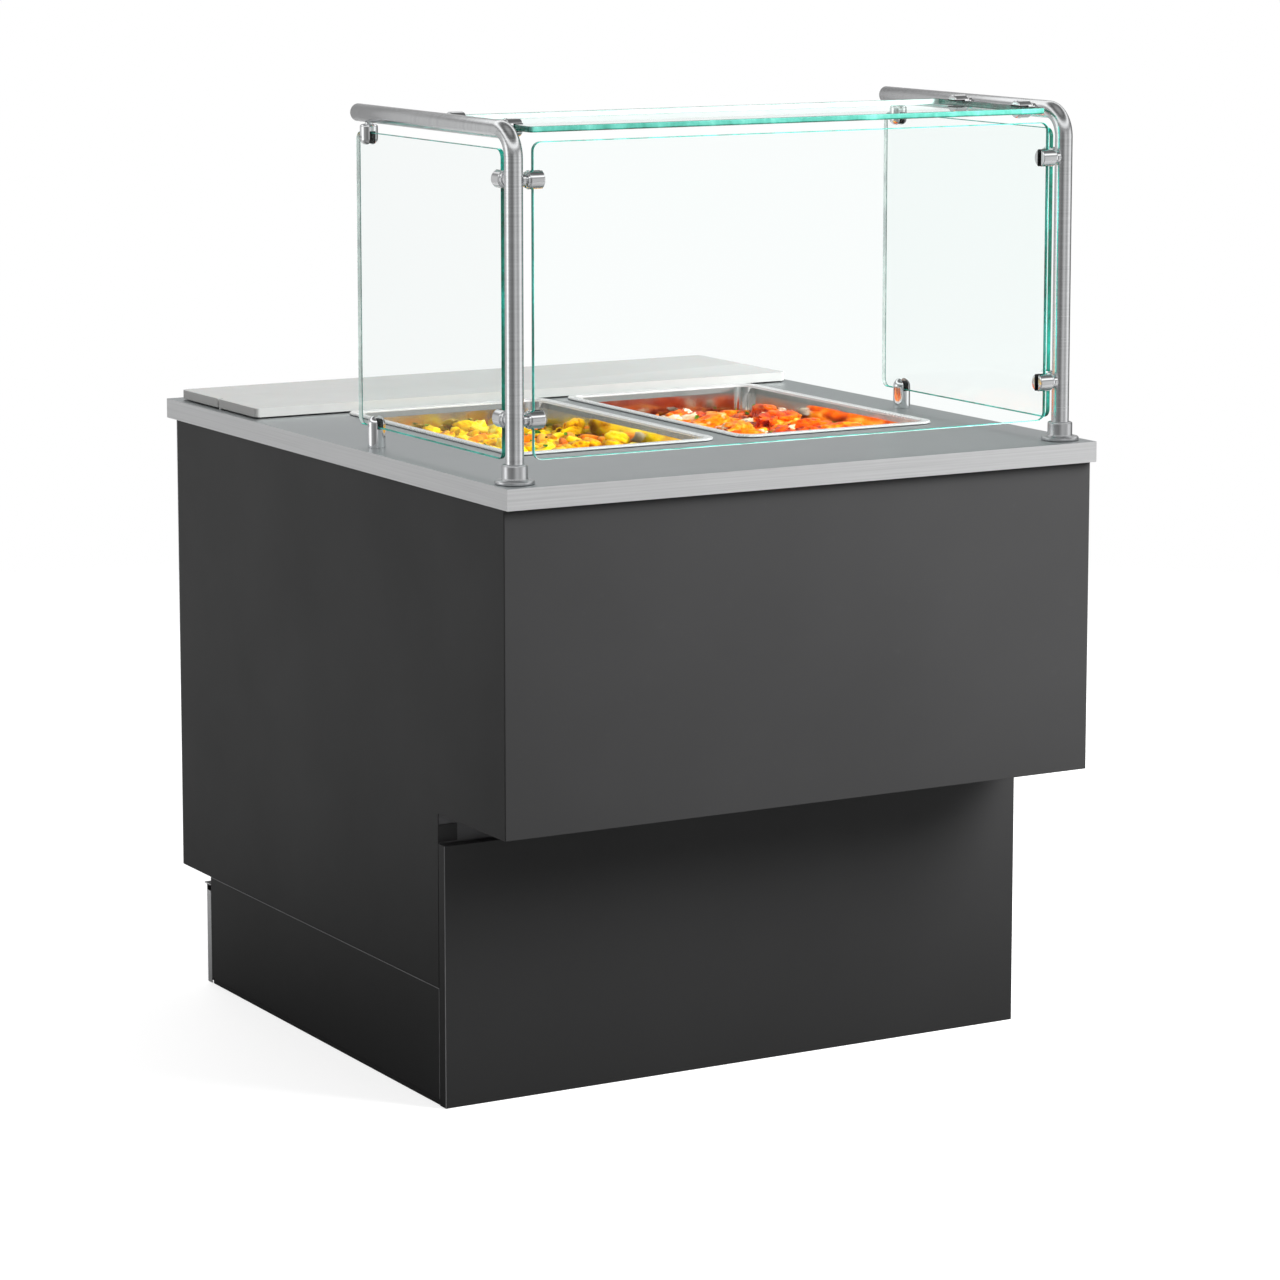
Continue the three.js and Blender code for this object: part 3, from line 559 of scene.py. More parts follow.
def carve(base, cutters):
    """base minus every cutter, all given as bmeshes; returns a new bmesh."""
    a = temp_object(base)
    tools = [temp_object(c) for c in cutters]
    for t in tools:
        mod = a.modifiers.new("cut", "BOOLEAN")
        mod.operation, mod.object, mod.solver = "DIFFERENCE", t, "EXACT"
    bpy.context.view_layer.update()
    me = bpy.data.meshes.new_from_object(a.evaluated_get(bpy.context.evaluated_depsgraph_get()))
    out = bmesh.new()
    out.from_mesh(me)
    for o in [a, *tools]:
        old = o.data
        bpy.data.objects.remove(o)
        bpy.data.meshes.remove(old)
    bpy.data.meshes.remove(me)
    bmesh.ops.remove_doubles(out, verts=out.verts, dist=1e-6)
    return out


def put(bm, source, matrix):
    """Copies a bmesh into another through a matrix."""
    me = bpy.data.meshes.new("put")
    source.to_mesh(me)
    me.transform(matrix)
    bm.from_mesh(me)
    bpy.data.meshes.remove(me)


# ------------------------------------------------------------------ cabinet
def worn_top(f):
    """The rolled top edge of a kick panel and its front edge, given the lighter grey as a painted highlight."""
    return 1 if f.normal.z > 0.25 or (f.normal.y < -0.3 and abs(f.normal.x) > 0.15) else 0


# painted highlight: faces of the lower front panel that turn forward and sideways at its folds get the lighter grey
def worn_fold(f):
    return 1 if abs(f.normal.x) > 0.25 and f.normal.y < -0.25 else 0


for side in ("left", "right"):
    skin(f"side_panel_{side}", [BLACK], 0.7, 3)
    skin(f"kick_panel_{side}", [BLACK, EDGE_HIGHLIGHT_GREY], 1.0, 3, paint=worn_top)
skin("front_panel_upper", [BLACK], 0.8, 3)
skin("front_panel_lower", [BLACK, EDGE_HIGHLIGHT_GREY], 1.0, 3, paint=worn_fold)
skin("overhang_soffit", [BLACK], 0.5, 2)
# a backing strip closes the joint between each lower return and the sheet behind it
for side in ("left", "right"):
    bm = bmesh.new()
    x_in, x_out = sorted((mx(3.66, side), mx(3.96, side)))
    add_box(bm, x_in, x_out, 198.0, 204.6, 9.0, 352.0)
    finish_mesh(f"joint_backing_{side}", bm, [BLACK], "case")
skin("base_frame", [BLACK], 0.6, 2)
skin("cabinet_deck", [BLACK], 0.4, 2)
skin("kick_panel_rear", [STEEL_X], 0.6, 2)
skin("inner_front_wall", [CHARCOAL_LIT_COPY], 0.4, 2)
skin("rear_frame", [STEEL_X], 0.4, 2)
for side in ("left", "right"):
    skin(f"door_{side}", [DOOR_STEEL], 0.7, 3)
    skin(f"door_pull_{side}", [CHROME], 0.35, 2)


# ------------------------------------------------------------------ worktop
# picks, by the way a face points, which toned copy of the worktop steel it gets: painted light and shade
def worktop_paint(f):
    if f.normal.z > 0.85:
        return 0
    if abs(f.normal.y) > 0.5:
        return 1
    if abs(f.normal.x) > 0.5:
        return 2
    return 1 if f.calc_center_median().y < LO.y + 0.01 else 0


skin("countertop", [WORKTOP, BAND_X, BAND_Y], 1.3, 3, 40, worktop_paint, "_sheet")


def make_pan(tag, cx):
    bm = bmesh.new()
    hx, hy, r = 149.0, 246.0, 21.0
    outer = [
        (161.0 - 1.1, 258.0 - 1.1, 26.0 - 1.1, 857.6),
        (161.0, 258.0, 26.0, 858.2),
        (161.0, 258.0, 26.0, 859.6),
        (161.0 - 0.5, 258.0 - 0.5, 25.6, 860.6),
        (161.0 - 1.6, 258.0 - 1.6, 24.6, 861.0),
    ]
    inner = [
        (hx + 3.4, hy + 3.4, r + 3.0, 861.0),
        (hx + 1.5, hy + 1.5, r + 1.4, 860.5),
        (hx + 0.4, hy + 0.4, r + 0.4, 859.2),
        (hx, hy, r, 857.0),
        (hx - 0.6, hy - 0.6, r, 850.0),
        (hx - 1.0, hy - 1.0, r, 849.0),
        (hx - 3.2, hy - 3.2, r + 1, 808.0),
        (hx - 4.6, hy - 4.6, r + 1, 802.0),
        (hx - 8.0, hy - 8.0, r - 1, 798.6),
        (hx - 13.0, hy - 13.0, r - 5, 797.5),
    ]
    floor = [
        (hx - 13.0, hy - 13.0, r - 5, 796.2),
        (hx - 7.0, hy - 7.0, r - 1, 797.0),
        (hx - 2.6, hy - 2.6, r + 1, 801.4),
        (hx - 1.2, hy - 1.2, r + 1, 808.0),
        (hx + 1.0, hy + 1.0, r + 1, 849.0),
        (hx + 1.5, hy + 1.5, r + 1.4, 856.4),
        (hx + 4.0, hy + 4.0, r + 3.6, 857.5),
    ]
    rings = [ring_rect(cx, PAN_Y, a, b, c, z) for a, b, c, z in outer + inner + floor]
    vr = add_loft(bm, rings, False, False)
    n = len(outer) + len(inner)
    # the floor inside and outside, closed as two faces, and the rim's underside
    bm.faces.new(vr[n - 1])
    bm.faces.new(list(reversed(vr[n])))
    for f in [f for f in bm.faces if set(f.verts) <= set(vr[n - 1]) | set(vr[n]) and len(f.verts) == 4]:
        bm.faces.remove(f)
    first, last = vr[0], vr[-1]
    for i in range(len(first)):
        j = (i + 1) % len(first)
        bm.faces.new([last[i], last[j], first[j], first[i]])
    bm.normal_update()
    for f in bm.faces:
        z = (f.calc_center_median() - LO).z * 1000
        f.material_index = 1 if z > 857.2 else 0
    return finish_mesh(f"pan_{tag}_shell", bm, [PAN_STEEL, PAN_RIM], f"{tag}_pan", f"pan_{tag}", smooth=50)


def make_well(tag, cx):
    bm = bmesh.new()
    hx, hy, z0, zt = 156.0, 253.0, 691.5, 855.1
    prof = [
        (hx + 10.5, hy + 10.5, 31.5, zt - 1.5),
        (hx + 10.5, hy + 10.5, 31.5, zt - 0.1),
        (hx + 1.2, hy + 1.2, 26.0, zt - 0.1),
        (hx + 0.2, hy + 0.2, 25.0, zt - 1.2),
        (hx, hy, 24.5, zt - 3.0),
        (hx, hy, 24.5, z0 + 10),
        (hx - 1.6, hy - 1.6, 23.5, z0 + 4),
        (hx - 5, hy - 5, 21, z0 + 1),
        (hx - 10, hy - 10, 18, z0),
    ]
    under = [
        (hx - 10, hy - 10, 18, z0 - 1.5),
        (hx - 4, hy - 4, 22, z0 - 0.6),
        (hx, hy, 25, z0 + 3.4),
        (hx + 1.5, hy + 1.5, 26, z0 + 10),
        (hx + 1.5, hy + 1.5, 26, zt - 3.0),
        (hx + 3.0, hy + 3.0, 27, zt - 1.6),
    ]
    vr = add_loft(bm, [ring_rect(cx, PAN_Y, a, b, c, z) for a, b, c, z in prof + under], False, False)
    n = len(prof)
    for f in [f for f in bm.faces if len(f.verts) == 4 and set(f.verts) <= set(vr[n - 1]) | set(vr[n])]:
        bm.faces.remove(f)
    bm.faces.new(vr[n - 1])
    bm.faces.new(list(reversed(vr[n])))
    for i in range(len(vr[0])):
        j = (i + 1) % len(vr[0])
        bm.faces.new([vr[-1][i], vr[-1][j], vr[0][j], vr[0][i]])
    # drain strainer dish and the stub under it
    c = P(cx, PAN_Y + 200, 0)
    add_lathe(bm, c, (0, 0, 1), [(0, 692.0), (20, 692.0), (22, 692.6), (22.6, 693.4), (21.8, 694.0), (19, 693.2), (17.5, 692.5), (0, 692.5)], 40, material=1)
    for k in range(18):
        t = 2 * math.pi * k / 12 if k < 12 else 2 * math.pi * k / 6
        rr = 13 if k < 12 else 6.5
        add_lathe(bm, P(cx + rr * math.cos(t), PAN_Y + 200 + rr * math.sin(t), 0), (0, 0, 1), [(0, 692.5), (1.5, 692.55), (0, 692.6)], 12, material=2)
    add_lathe(bm, c, (0, 0, 1), [(9, 668.2), (12.5, 668.2), (12.5, 689.6), (9, 689.6), (9, 668.2)], 32)
    return finish_mesh(f"well_{tag}_liner", bm, [WELL_STEEL, CHROME, RUBBER], "case", f"well_{tag}", smooth=50)


for tag, cx in zip(("left", "right"), PAN_X):
    make_pan(tag, cx)
    make_well(tag, cx)

# cutting board: a slab with round long edges and a slot in each end that drops over a stud
def make_board():
    b = BOARD
    py = (b["y0"] + b["y1"]) / 2
    bm = bmesh.new()
    r, n = 7.0, 6
    x0, x1, y0, y1 = b["x0"], b["x1"], b["y0"], b["y1"]
    out = []

    def arc(cx, cy, rad, t0, t1, k=n):
        out.extend((cx + rad * math.cos(math.radians(t0 + (t1 - t0) * i / k)), cy + rad * math.sin(math.radians(t0 + (t1 - t0) * i / k))) for i in range(k + 1))

    arc(x1 - r, y0 + r, r, -90, 0)
    out.extend([(x1, py - 2.6 - 1.0), (x1 - 1.0, py - 2.6)])
    arc(x1 - 5.2, py, 2.6, -90, -270, 8)
    out.extend([(x1 - 1.0, py + 2.6), (x1, py + 2.6 + 1.0)])
    arc(x1 - r, y1 - r, r, 0, 90)
    arc(x0 + r, y1 - r, r, 90, 180)
    out.extend([(x0, py + 3.6), (x0 + 1.0, py + 2.6)])
    arc(x0 + 5.2, py, 2.6, 90, -90, 8)
    out.extend([(x0 + 1.0, py - 2.6), (x0, py - 3.6)])
    arc(x0 + r, y0 + r, r, 180, 270)
    low = [bm.verts.new(P(x, y, b["z0"])) for x, y in out]
    high = [bm.verts.new(P(x, y, b["z1"])) for x, y in out]
    m = len(out)
    for i in range(m):
        j = (i + 1) % m
        bm.faces.new([low[i], low[j], high[j], high[i]])
    top, bot = bm.faces.new(high), bm.faces.new(list(reversed(low)))
    long_edges = []
    for f in (top, bot):
        for e in f.edges:
            mid = (e.verts[0].co + e.verts[1].co) / 2
            q = (mid - LO) * 1000
            if not (abs(q.y - py) < 5):
                long_edges.append(e)
    bmesh.ops.bevel(bm, geom=long_edges, offset=0.0042, offset_type="OFFSET", segments=5, profile=0.5, affect="EDGES", clamp_overlap=True)
    m = Mat("board_white")
    score = m.noise(1.0, 2, 0.5, m.scaled((18, 900, 40)))
    score2 = m.noise(1.0, 2, 0.5, m.scaled((700, 30, 40)))
    cloud = m.noise(9, 4, 0.6)
    pebble = m.noise(420, 2, 0.5)
    base = m.mix(m.span(cloud, 0, 0.6, 0.35, 0.7), (0.455, 0.458, 0.450), (0.425, 0.426, 0.416))
    marks = m.math("MAXIMUM", m.span(score, 0, 1, 0.70, 0.78), m.span(score2, 0, 1, 0.74, 0.82))
    m.set(
        Base_Color=m.mix(m.math("MULTIPLY", marks, 0.35), base, (0.37, 0.37, 0.355)),
        Roughness=m.span(cloud, 0.46, 0.58, 0.3, 0.7),
        Specular_IOR_Level=0.22,
        Subsurface_Weight=0.08,
        Subsurface_Scale=0.004,
        Normal=m.bump(m.math("SUBTRACT", pebble, m.math("MULTIPLY", marks, 1.2)), 0.00012, 0.6),
    )
    rim = plastic("board_rim", (0.46, 0.46, 0.452), 0.5, spec=0.2, grain=500, depth=0.0001, var=0.03)
    bmesh.ops.recalc_face_normals(bm, faces=bm.faces)
    bm.normal_update()
    for f in bm.faces:
        f.material_index = 1 if abs(f.normal.z) < 0.93 else 0
    return finish_mesh("cutting_board_slab", bm, [m.m, rim], "board", "cutting_board", smooth=45)


make_board()


# ------------------------------------------------------------------ sneeze guard
def make_post(side):
    bm = bmesh.new()
    up = route([(mx(POST_X, side), POST_Y, TOP_Z + 2.3), (mx(POST_X, side), POST_Y, ARM_Z), (mx(POST_X, side), ARM_END, ARM_Z)], BEND_R, 20)
    # end cap with a small chamfer
    end, t = up[-1]
    path = up[:-1] + [(end - t * 0.0009, t), (end - t * 0.0003, t), (end, t)]
    radii = [TUBE_R] * (len(up) - 1) + [TUBE_R, TUBE_R - 0.35, TUBE_R - 0.9]
    add_tube(bm, path, radii, 56)
    a = end + t * 0.00002
    # painted light: the arm's faces, back from the bend, take the lighter arm copy of the tube steel
    bm.normal_update()
    for f in bm.faces:
        c = (f.calc_center_median() - LO) * 1000
        f.material_index = 1 if c.y > POST_Y + 25 else 0
    ob = finish_mesh(f"post_{side}_tube", bm, [TUBE_STEEL, ARM_STEEL], "case", f"post_{side}", smooth=40, weighted=False)
    return ob


def make_flange(side):
    bm = bmesh.new()
    c = P(mx(POST_X, side), POST_Y, TOP_Z)
    prof = [
        (12.6, 0.4), (24.6, 0.3), (25.6, 0.6), (26.0, 1.4), (26.0, 3.4), (25.7, 4.4), (24.9, 5.1), (23.4, 5.5), (19.2, 5.7), (18.0, 6.0),
        (17.3, 6.8), (17.0, 8.0), (17.0, 21.8), (16.9, 23.4), (16.3, 24.5), (15.2, 25.1), (13.2, 25.2), (12.5, 24.7), (12.25, 23.8), (12.25, 0.9), (12.6, 0.4),
    ]
    add_lathe(bm, c, (0, 0, 1), prof, 72)
    out = Vector((0.55 if side == "right" else -0.55, 0.83, 0)).normalized()
    add_screw(bm, c + out * 0.01675 + Vector((0, 0, 0.0142)), out, 2.6, 1.5, "hex", 1)
    return finish_mesh(f"post_flange_{side}_turned", bm, [STEEL_Z, SCREW], "case", f"post_flange_{side}", smooth=32, weighted=False)


for side in ("left", "right"):
    make_post(side)
    make_flange(side)


def clamp_shape(slot):
    """One slotted round clamp along +Z from the tube's axis; the glass lies in the plane normal to X."""
    o = Vector((0, 0, 0))
    bm = bmesh.new()
    add_lathe(bm, o, (0, 0, 1), [(0, 19.0), (10.6, 19.0), (11.6, 19.4), (12.2, 20.3), (12.2, 38.2), (11.9, 39.1), (11.1, 39.8), (10.0, 40.0), (0, 40.0)], 64)
    tool = bmesh.new()
    bmesh.ops.create_cube(tool, size=1.0, matrix=Matrix.Translation((0, 0, 0.04)) @ Matrix.Diagonal((slot / 1000, 0.06, 0.0288, 1)))
    body = carve(bm, [tool])
    bevel(body, 0.35, 2, 50)
    # neck and saddle that sits on the tube
    add_lathe(body, o, (0, 0, 1), [(0, 10.0), (8.6, 10.0), (8.6, 14.0), (8.0, 14.8), (6.8, 15.2), (6.8, 16.6), (0, 16.6)], 48)
    # ring, meant as rubber, that seats the body against the saddle; its faces take material index 1, though the clamp
    # body carries only the polished steel material
    add_lathe(body, o, (0, 0, 1), [(0, 16.4), (9.4, 16.4), (10.3, 16.8), (10.6, 17.7), (10.6, 19.2), (0, 19.2)], 48, material=1)
    return body


def gasket_shape(slot, glass):
    bm = bmesh.new()
    for s in (-1, 1):
        a, b = sorted((s * glass / 2 * 1.01, s * (slot / 2 + 0.02)))
        ring_lo = [Vector((a / 1000, yy / 1000, zz / 1000)) for yy, zz in ((-11.6, 26.3), (11.6, 26.3), (11.9, 39.0), (11.3, 39.7), (-11.3, 39.7), (-11.9, 39.0))]
        ring_hi = [Vector((b / 1000, v.y, v.z)) for v in ring_lo]
        add_loft(bm, [ring_lo, ring_hi])
    tool = bmesh.new()
    # the pads end on the clamp's own round outline
    add_lathe(tool, Vector((0, 0, 0)), (0, 0, 1), [(11.95, 20.0), (20.0, 20.0), (20.0, 45.0), (11.95, 45.0), (11.95, 20.0)], 64)
    return carve(bm, [tool])


def set_screw_shape():
    bm = bmesh.new()
    add_screw(bm, Vector((0, 0, 0)), (0, 0, 1), 2.4, 0.5, "hex", 0)
    return bm


CLAMP6, CLAMP8 = clamp_shape(9.0), clamp_shape(11.0)
PAD6, PAD8 = gasket_shape(9.0, 6.0), gasket_shape(11.0, 8.0)
GRUB = set_screw_shape()


def axes_matrix(origin, x, z):
    z, x = Vector(z).normalized(), Vector(x).normalized()
    y = z.cross(x)
    m = Matrix((x, y, z)).transposed().to_4x4()
    m.translation = origin
    return m


def place_clamp(name, origin, out, normal, shape, pad, screw_side):
    m = axes_matrix(origin, normal, out)
    bm = bmesh.new()
    put(bm, shape, m)
    finish_mesh(name + "_body", bm, [CHROME], "case", name, smooth=30)
    bm = bmesh.new()
    put(bm, pad, m)
    finish_mesh(name + "_pads", bm, [RUBBER], "case", smooth=30)
    bm = bmesh.new()
    n = Vector(normal).normalized() * screw_side
    at = origin + Vector(out).normalized() * 0.0335 + n * 0.01195
    put(bm, GRUB, axes_matrix(at, Vector(out), n))
    finish_mesh(name + "_screw", bm, [SCREW], "case", smooth=30)


for side in ("left", "right"):
    s = 1 if side == "left" else -1
    px = mx(POST_X, side)
    for level, z in (("lower", 938.0), ("upper", 1245.0)):
        place_clamp(f"clamp_front_{level}_{side}", P(px, POST_Y, z), (s, 0, 0), (0, 1, 0), CLAMP6, PAD6, 1)
        place_clamp(f"clamp_side_{level}_{side}", P(px, POST_Y, z), (0, 1, 0), (-s, 0, 0), CLAMP6, PAD6, -1)
    for where, y in (("front", 100.0), ("rear", 255.0)):
        place_clamp(f"clamp_top_{where}_{side}", P(px, y, ARM_Z), (s, 0, 0), (0, 0, 1), CLAMP8, PAD8, -1)


def split_round(profile, centre, axis, slot_lo, slot_half=4.5, seg=64):
    """A turned piece split by an upright slot for the side glass; slot_lo is the (z0, z1) span in mm."""
    bm = bmesh.new()
    add_lathe(bm, centre, axis, profile, seg)
    tool = bmesh.new()
    z0, z1 = slot_lo
    c = centre
    vs = [tool.verts.new(Vector((c.x + sx * slot_half / 1000, c.y + sy * 0.03, LO.z + z / 1000))) for z in (z0, z1) for sy in (-1, 1) for sx in (-1, 1)]
    for q in ((0, 2, 3, 1), (4, 5, 7, 6), (0, 1, 5, 4), (2, 6, 7, 3), (0, 4, 6, 2), (1, 3, 7, 5)):
        tool.faces.new([vs[i] for i in q])
    out = carve(bm, [tool])
    bevel(out, 0.35, 2, 50)
    return out


def make_hanger(side):
    x = mx(POST_X, side)
    c = P(x, 453.0, ARM_Z)
    prof = [(0, 11.5), (5.4, 11.5), (5.0, 12.6), (5.0, 13.6), (7.6, 14.0), (9.6, 14.4), (11.2, 15.3), (12.0, 16.6), (12.2, 18.0), (12.2, 33.0), (12.0, 35.0), (11.2, 37.6), (9.6, 39.7), (7.2, 41.2), (4.0, 41.9), (0, 42.0)]
    bm = split_round(prof, c, (0, 0, -1), (1240, 1284.6))
    finish_mesh(f"hanger_rear_{side}_body", bm, [CHROME], "case", f"hanger_rear_{side}", smooth=30)
    bm = bmesh.new()
    for s in (-1, 1):
        a, b = sorted((s * 3.05, s * 4.5))
        add_box(bm, x + a, x + b, 453 - 11.0, 453 + 11.0, 1272.2, 1284.3)
        add_box(bm, x + a, x + b, 453 - 7.4, 453 + 7.4, 1267.6, 1272.3)
    add_box(bm, x - 4.5, x + 4.5, 453 - 10.8, 453 + 10.8, 1283.2, 1284.5)
    finish_mesh(f"hanger_rear_{side}_pads", bm, [RUBBER], "case", smooth=30)
    bm = bmesh.new()
    o = -1 if side == "left" else 1
    put(bm, GRUB, axes_matrix(P(x + o * 11.95, 453, 1277), (0, 0, 1), (o, 0, 0)))
    finish_mesh(f"hanger_rear_{side}_screw", bm, [SCREW], "case", smooth=30)


def make_standoff(side):
    x = mx(POST_X, side)
    y = 437.5
    c = P(x, y, TOP_Z + 0.3)
    h = 901.0 - TOP_Z - 0.3
    prof = [(0, 0), (12.2, 0), (12.2, h - 14.0)] + [(12.2 * math.cos(t), h - 12.2 + 12.2 * math.sin(t) * 1.0) for t in (math.radians(90 * k / 12) for k in range(12))] + [(0, h)]
    bm = split_round(prof, c, (0, 0, 1), (882.6, 915))
    finish_mesh(f"standoff_{side}_body", bm, [CHROME], "case", f"standoff_{side}", smooth=30)
    bm = bmesh.new()
    for s in (-1, 1):
        a, b = sorted((s * 3.05, s * 4.5))
        add_box(bm, x + a, x + b, y - 11.0, y + 11.0, 883.0, 889.5)
        add_box(bm, x + a, x + b, y - 8.6, y + 8.6, 889.4, 895.6)
    add_box(bm, x - 4.5, x + 4.5, y - 10.9, y + 10.9, 882.6, 883.7)
    finish_mesh(f"standoff_{side}_pads", bm, [RUBBER], "case", smooth=30)
    bm = bmesh.new()
    o = -1 if side == "left" else 1
    put(bm, GRUB, axes_matrix(P(x + o * 11.95, y, 887.5), (0, 0, 1), (o, 0, 0)))
    finish_mesh(f"standoff_{side}_screw", bm, [SCREW], "case", smooth=30)


for side in ("left", "right"):
    make_hanger(side)
    make_standoff(side)


def make_glass(node, plane, r, edge_of):
    """A pane with rounded corners and a ground arris; edge_of(normal) picks, by the way a face points, its copy of the
    edge colour: painted light and shade.
    """
    a, b = mm(node)
    bm = bmesh.new()
    if plane == "xz":
        u0, u1, v0, v1, t0, t1 = a.x, b.x, a.z, b.z, a.y, b.y
        pt = lambda u, v, t: P(u, t, v)
    elif plane == "yz":
        u0, u1, v0, v1, t0, t1 = a.y, b.y, a.z, b.z, a.x, b.x
        pt = lambda u, v, t: P(t, u, v)
    else:
        u0, u1, v0, v1, t0, t1 = a.x, b.x, a.y, b.y, a.z, b.z
        pt = lambda u, v, t: P(u, v, t)
    n, c = 10, 1.8 if plane == "xy" else 0.9

    def ring(inset, t):
        rr = r - inset
        pts = []
        for su, sv, t0_ in ((1, -1, -90), (1, 1, 0), (-1, 1, 90), (-1, -1, 180)):
            cu, cv = (u1 - r if su > 0 else u0 + r), (v1 - r if sv > 0 else v0 + r)
            for k in range(n + 1):
                q = math.radians(t0_ + 90 * k / n)
                pts.append(pt(cu + rr * math.cos(q), cv + rr * math.sin(q), t))
        return pts

    rings = [ring(c, t0), ring(c * 0.25, t0 + c * 0.28), ring(0, t0 + c), ring(0, t1 - c), ring(c * 0.25, t1 - c * 0.28), ring(c, t1)]
    add_loft(bm, rings)
    bmesh.ops.recalc_face_normals(bm, faces=bm.faces)
    bm.normal_update()
    for f in bm.faces:
        f.material_index = 0 if len(f.verts) > 8 else edge_of(f)
    return finish_mesh(node + "_pane", bm, [GLASS_SHELF if plane == "xy" else GLASS, EDGE_BRIGHT, EDGE_DARK, EDGE_PALE, EDGE_REAR, EDGE_FAINT], "case", node, smooth=30)


make_glass("glass_front", "xz", 12.0, lambda f: 3 if f.normal.z < -0.75 else (5 if f.normal.z < -0.2 and f.normal.y < -0.2 else 1))
for side in ("left", "right"):
    make_glass(f"glass_side_{side}", "yz", 12.0, lambda f: 2 if f.normal.y < -0.4 else (4 if f.normal.y > 0.4 else 1))
make_glass("glass_top", "xy", 6.0, lambda f: (2 if f.normal.z < -0.3 else 3) if f.normal.y < -0.4 else (5 if f.normal.y > 0.4 else 2))

# ------------------------------------------------------------------ controls and services
KNOB_X, KNOB_Z, SWITCH_X, LAMP_X, SW_Y = (430, 560), 762.0, 300.0, 352.0, 1030.0
PLATE_FRONT = 1038.8
WELL_FLOOR, DRAIN_Y, MANIFOLD_Z, VALVE_Y = 690.0, PAN_Y + 200, 646.0, 950.0


def ribbed_ring(centre, y, r, ribs, depth, n=144):
    pts = []
    for i in range(n):
        t = 2 * math.pi * i / n
        rr = r - depth * (0.5 - 0.5 * math.cos(ribs * t)) ** 3
        pts.append(centre + Vector((math.cos(t) * rr, y, math.sin(t) * rr)) / 1000)
    return pts


def hex_ring(centre, y, r, flat, n=96):
    """A hexagon with its corners turned off to radius r."""
    pts = []
    for i in range(n):
        t = 2 * math.pi * i / n
        a = (t + math.pi / 6) % (math.pi / 3) - math.pi / 6
        rr = min(r, flat / math.cos(a))
        pts.append(centre + Vector((math.cos(t) * rr, y, math.sin(t) * rr)) / 1000)
    return pts


def make_knob(tag, x):
    bm = bmesh.new()
    c = P(x, 0, KNOB_Z)
    add_lathe(bm, c, (0, 1, 0), [(0, 1024), (2.7, 1024), (3, 1024.3), (3, 1039.5)], 32)
    rings = [ribbed_ring(c, y, r, 24, d) for y, r, d in (
        (1039.5, 20.5, 0), (1039.9, 21, 0), (1042.3, 21, 0), (1043.0, 20.4, 0), (1044.4, 18.7, 0), (1045.2, 18.0, 0.1), (1046.6, 17.8, 1.0),
        (1056.8, 17.1, 1.0), (1058.3, 16.8, 0.3), (1059.4, 16.2, 0), (1060.0, 15.2, 0), (1060.0, 13.6, 0), (1059.5, 12.9, 0), (1059.3, 4.0, 0))]
    add_loft(bm, rings)
    bar_ = bmesh.new()
    add_box(bar_, x - 2.4, x + 2.4, 1059, 1062.4, KNOB_Z - 14, KNOB_Z + 15.5)
    bevel(bar_, 0.9, 3, 35)
    # off position: the pointer stands at 0 on the dial, lower left for the operator
    spin = Matrix.Translation(c) @ Matrix.Rotation(math.radians(135), 4, "Y") @ Matrix.Translation(-c)
    put(bm, bar_, spin)
    line = bmesh.new()
    add_box(line, x - 0.75, x + 0.75, 1062.2, 1062.5, KNOB_Z + 2, KNOB_Z + 14.6)
    bevel(line, 0.12, 1, 35)
    for f in line.faces:
        f.material_index = 1
    put(bm, line, spin)
    finish_mesh(f"thermostat_knob_{tag}_moulding", bm, [PHENOLIC, MARK], f"{tag}_knob", f"thermostat_knob_{tag}", smooth=40)


for tag, x in zip(("left", "right"), KNOB_X):
    make_knob(tag, x)


def text_mesh(bm, body, size, at):
    """A generic dial number, built as a thin raised mark on the control plate."""
    cu = bpy.data.curves.new("dial", "FONT")
    cu.body, cu.size, cu.align_x, cu.align_y, cu.extrude = body, size / 1000, "CENTER", "CENTER", 0.00005
    ob = bpy.data.objects.new("dial", cu)
    COLL.objects.link(ob)
    bpy.context.view_layer.update()
    me = bpy.data.meshes.new_from_object(ob.evaluated_get(bpy.context.evaluated_depsgraph_get()))
    part = bmesh.new()
    part.from_mesh(me)
    bpy.data.objects.remove(ob)
    bpy.data.curves.remove(cu)
    bpy.data.meshes.remove(me)
    # seen from the operator's side: text runs towards -X, up is +Z, it faces +Y
    put(bm, part, Matrix.Translation(at) @ Matrix(((-1, 0, 0, 0), (0, 0, 1, 0), (0, 1, 0, 0), (0, 0, 0, 1))))


marks = bmesh.new()
for x in KNOB_X:
    for k in range(11):
        t = math.radians(90 - (-135 + 27 * k))
        out = Vector((-math.cos(t), 0, math.sin(t)))
        side = Vector((math.sin(t), 0, math.cos(t)))
        c = P(x, PLATE_FRONT, KNOB_Z)
        l0, l1, w = (23.5, 26.8, 0.45) if k % 2 == 0 else (23.5, 25.8, 0.4)
        vs = [marks.verts.new(c + (out * l + side * s * w + Vector((0, d, 0))) / 1000) for d in (-0.05, 0.12) for l, s in ((l0, -1), (l1, -1), (l1, 1), (l0, 1))]
        for q in ((0, 3, 2, 1), (4, 5, 6, 7), (0, 1, 5, 4), (1, 2, 6, 5), (2, 3, 7, 6), (3, 0, 4, 7)):
            marks.faces.new([vs[i] for i in q])
        if k % 2 == 0:
            text_mesh(marks, str(k), 6.6, c + (out * 31.6 + Vector((0, 0.05, 0))) / 1000)
finish_mesh("control_plate_marks", marks, [PHENOLIC], "case", smooth=30, weighted=False)

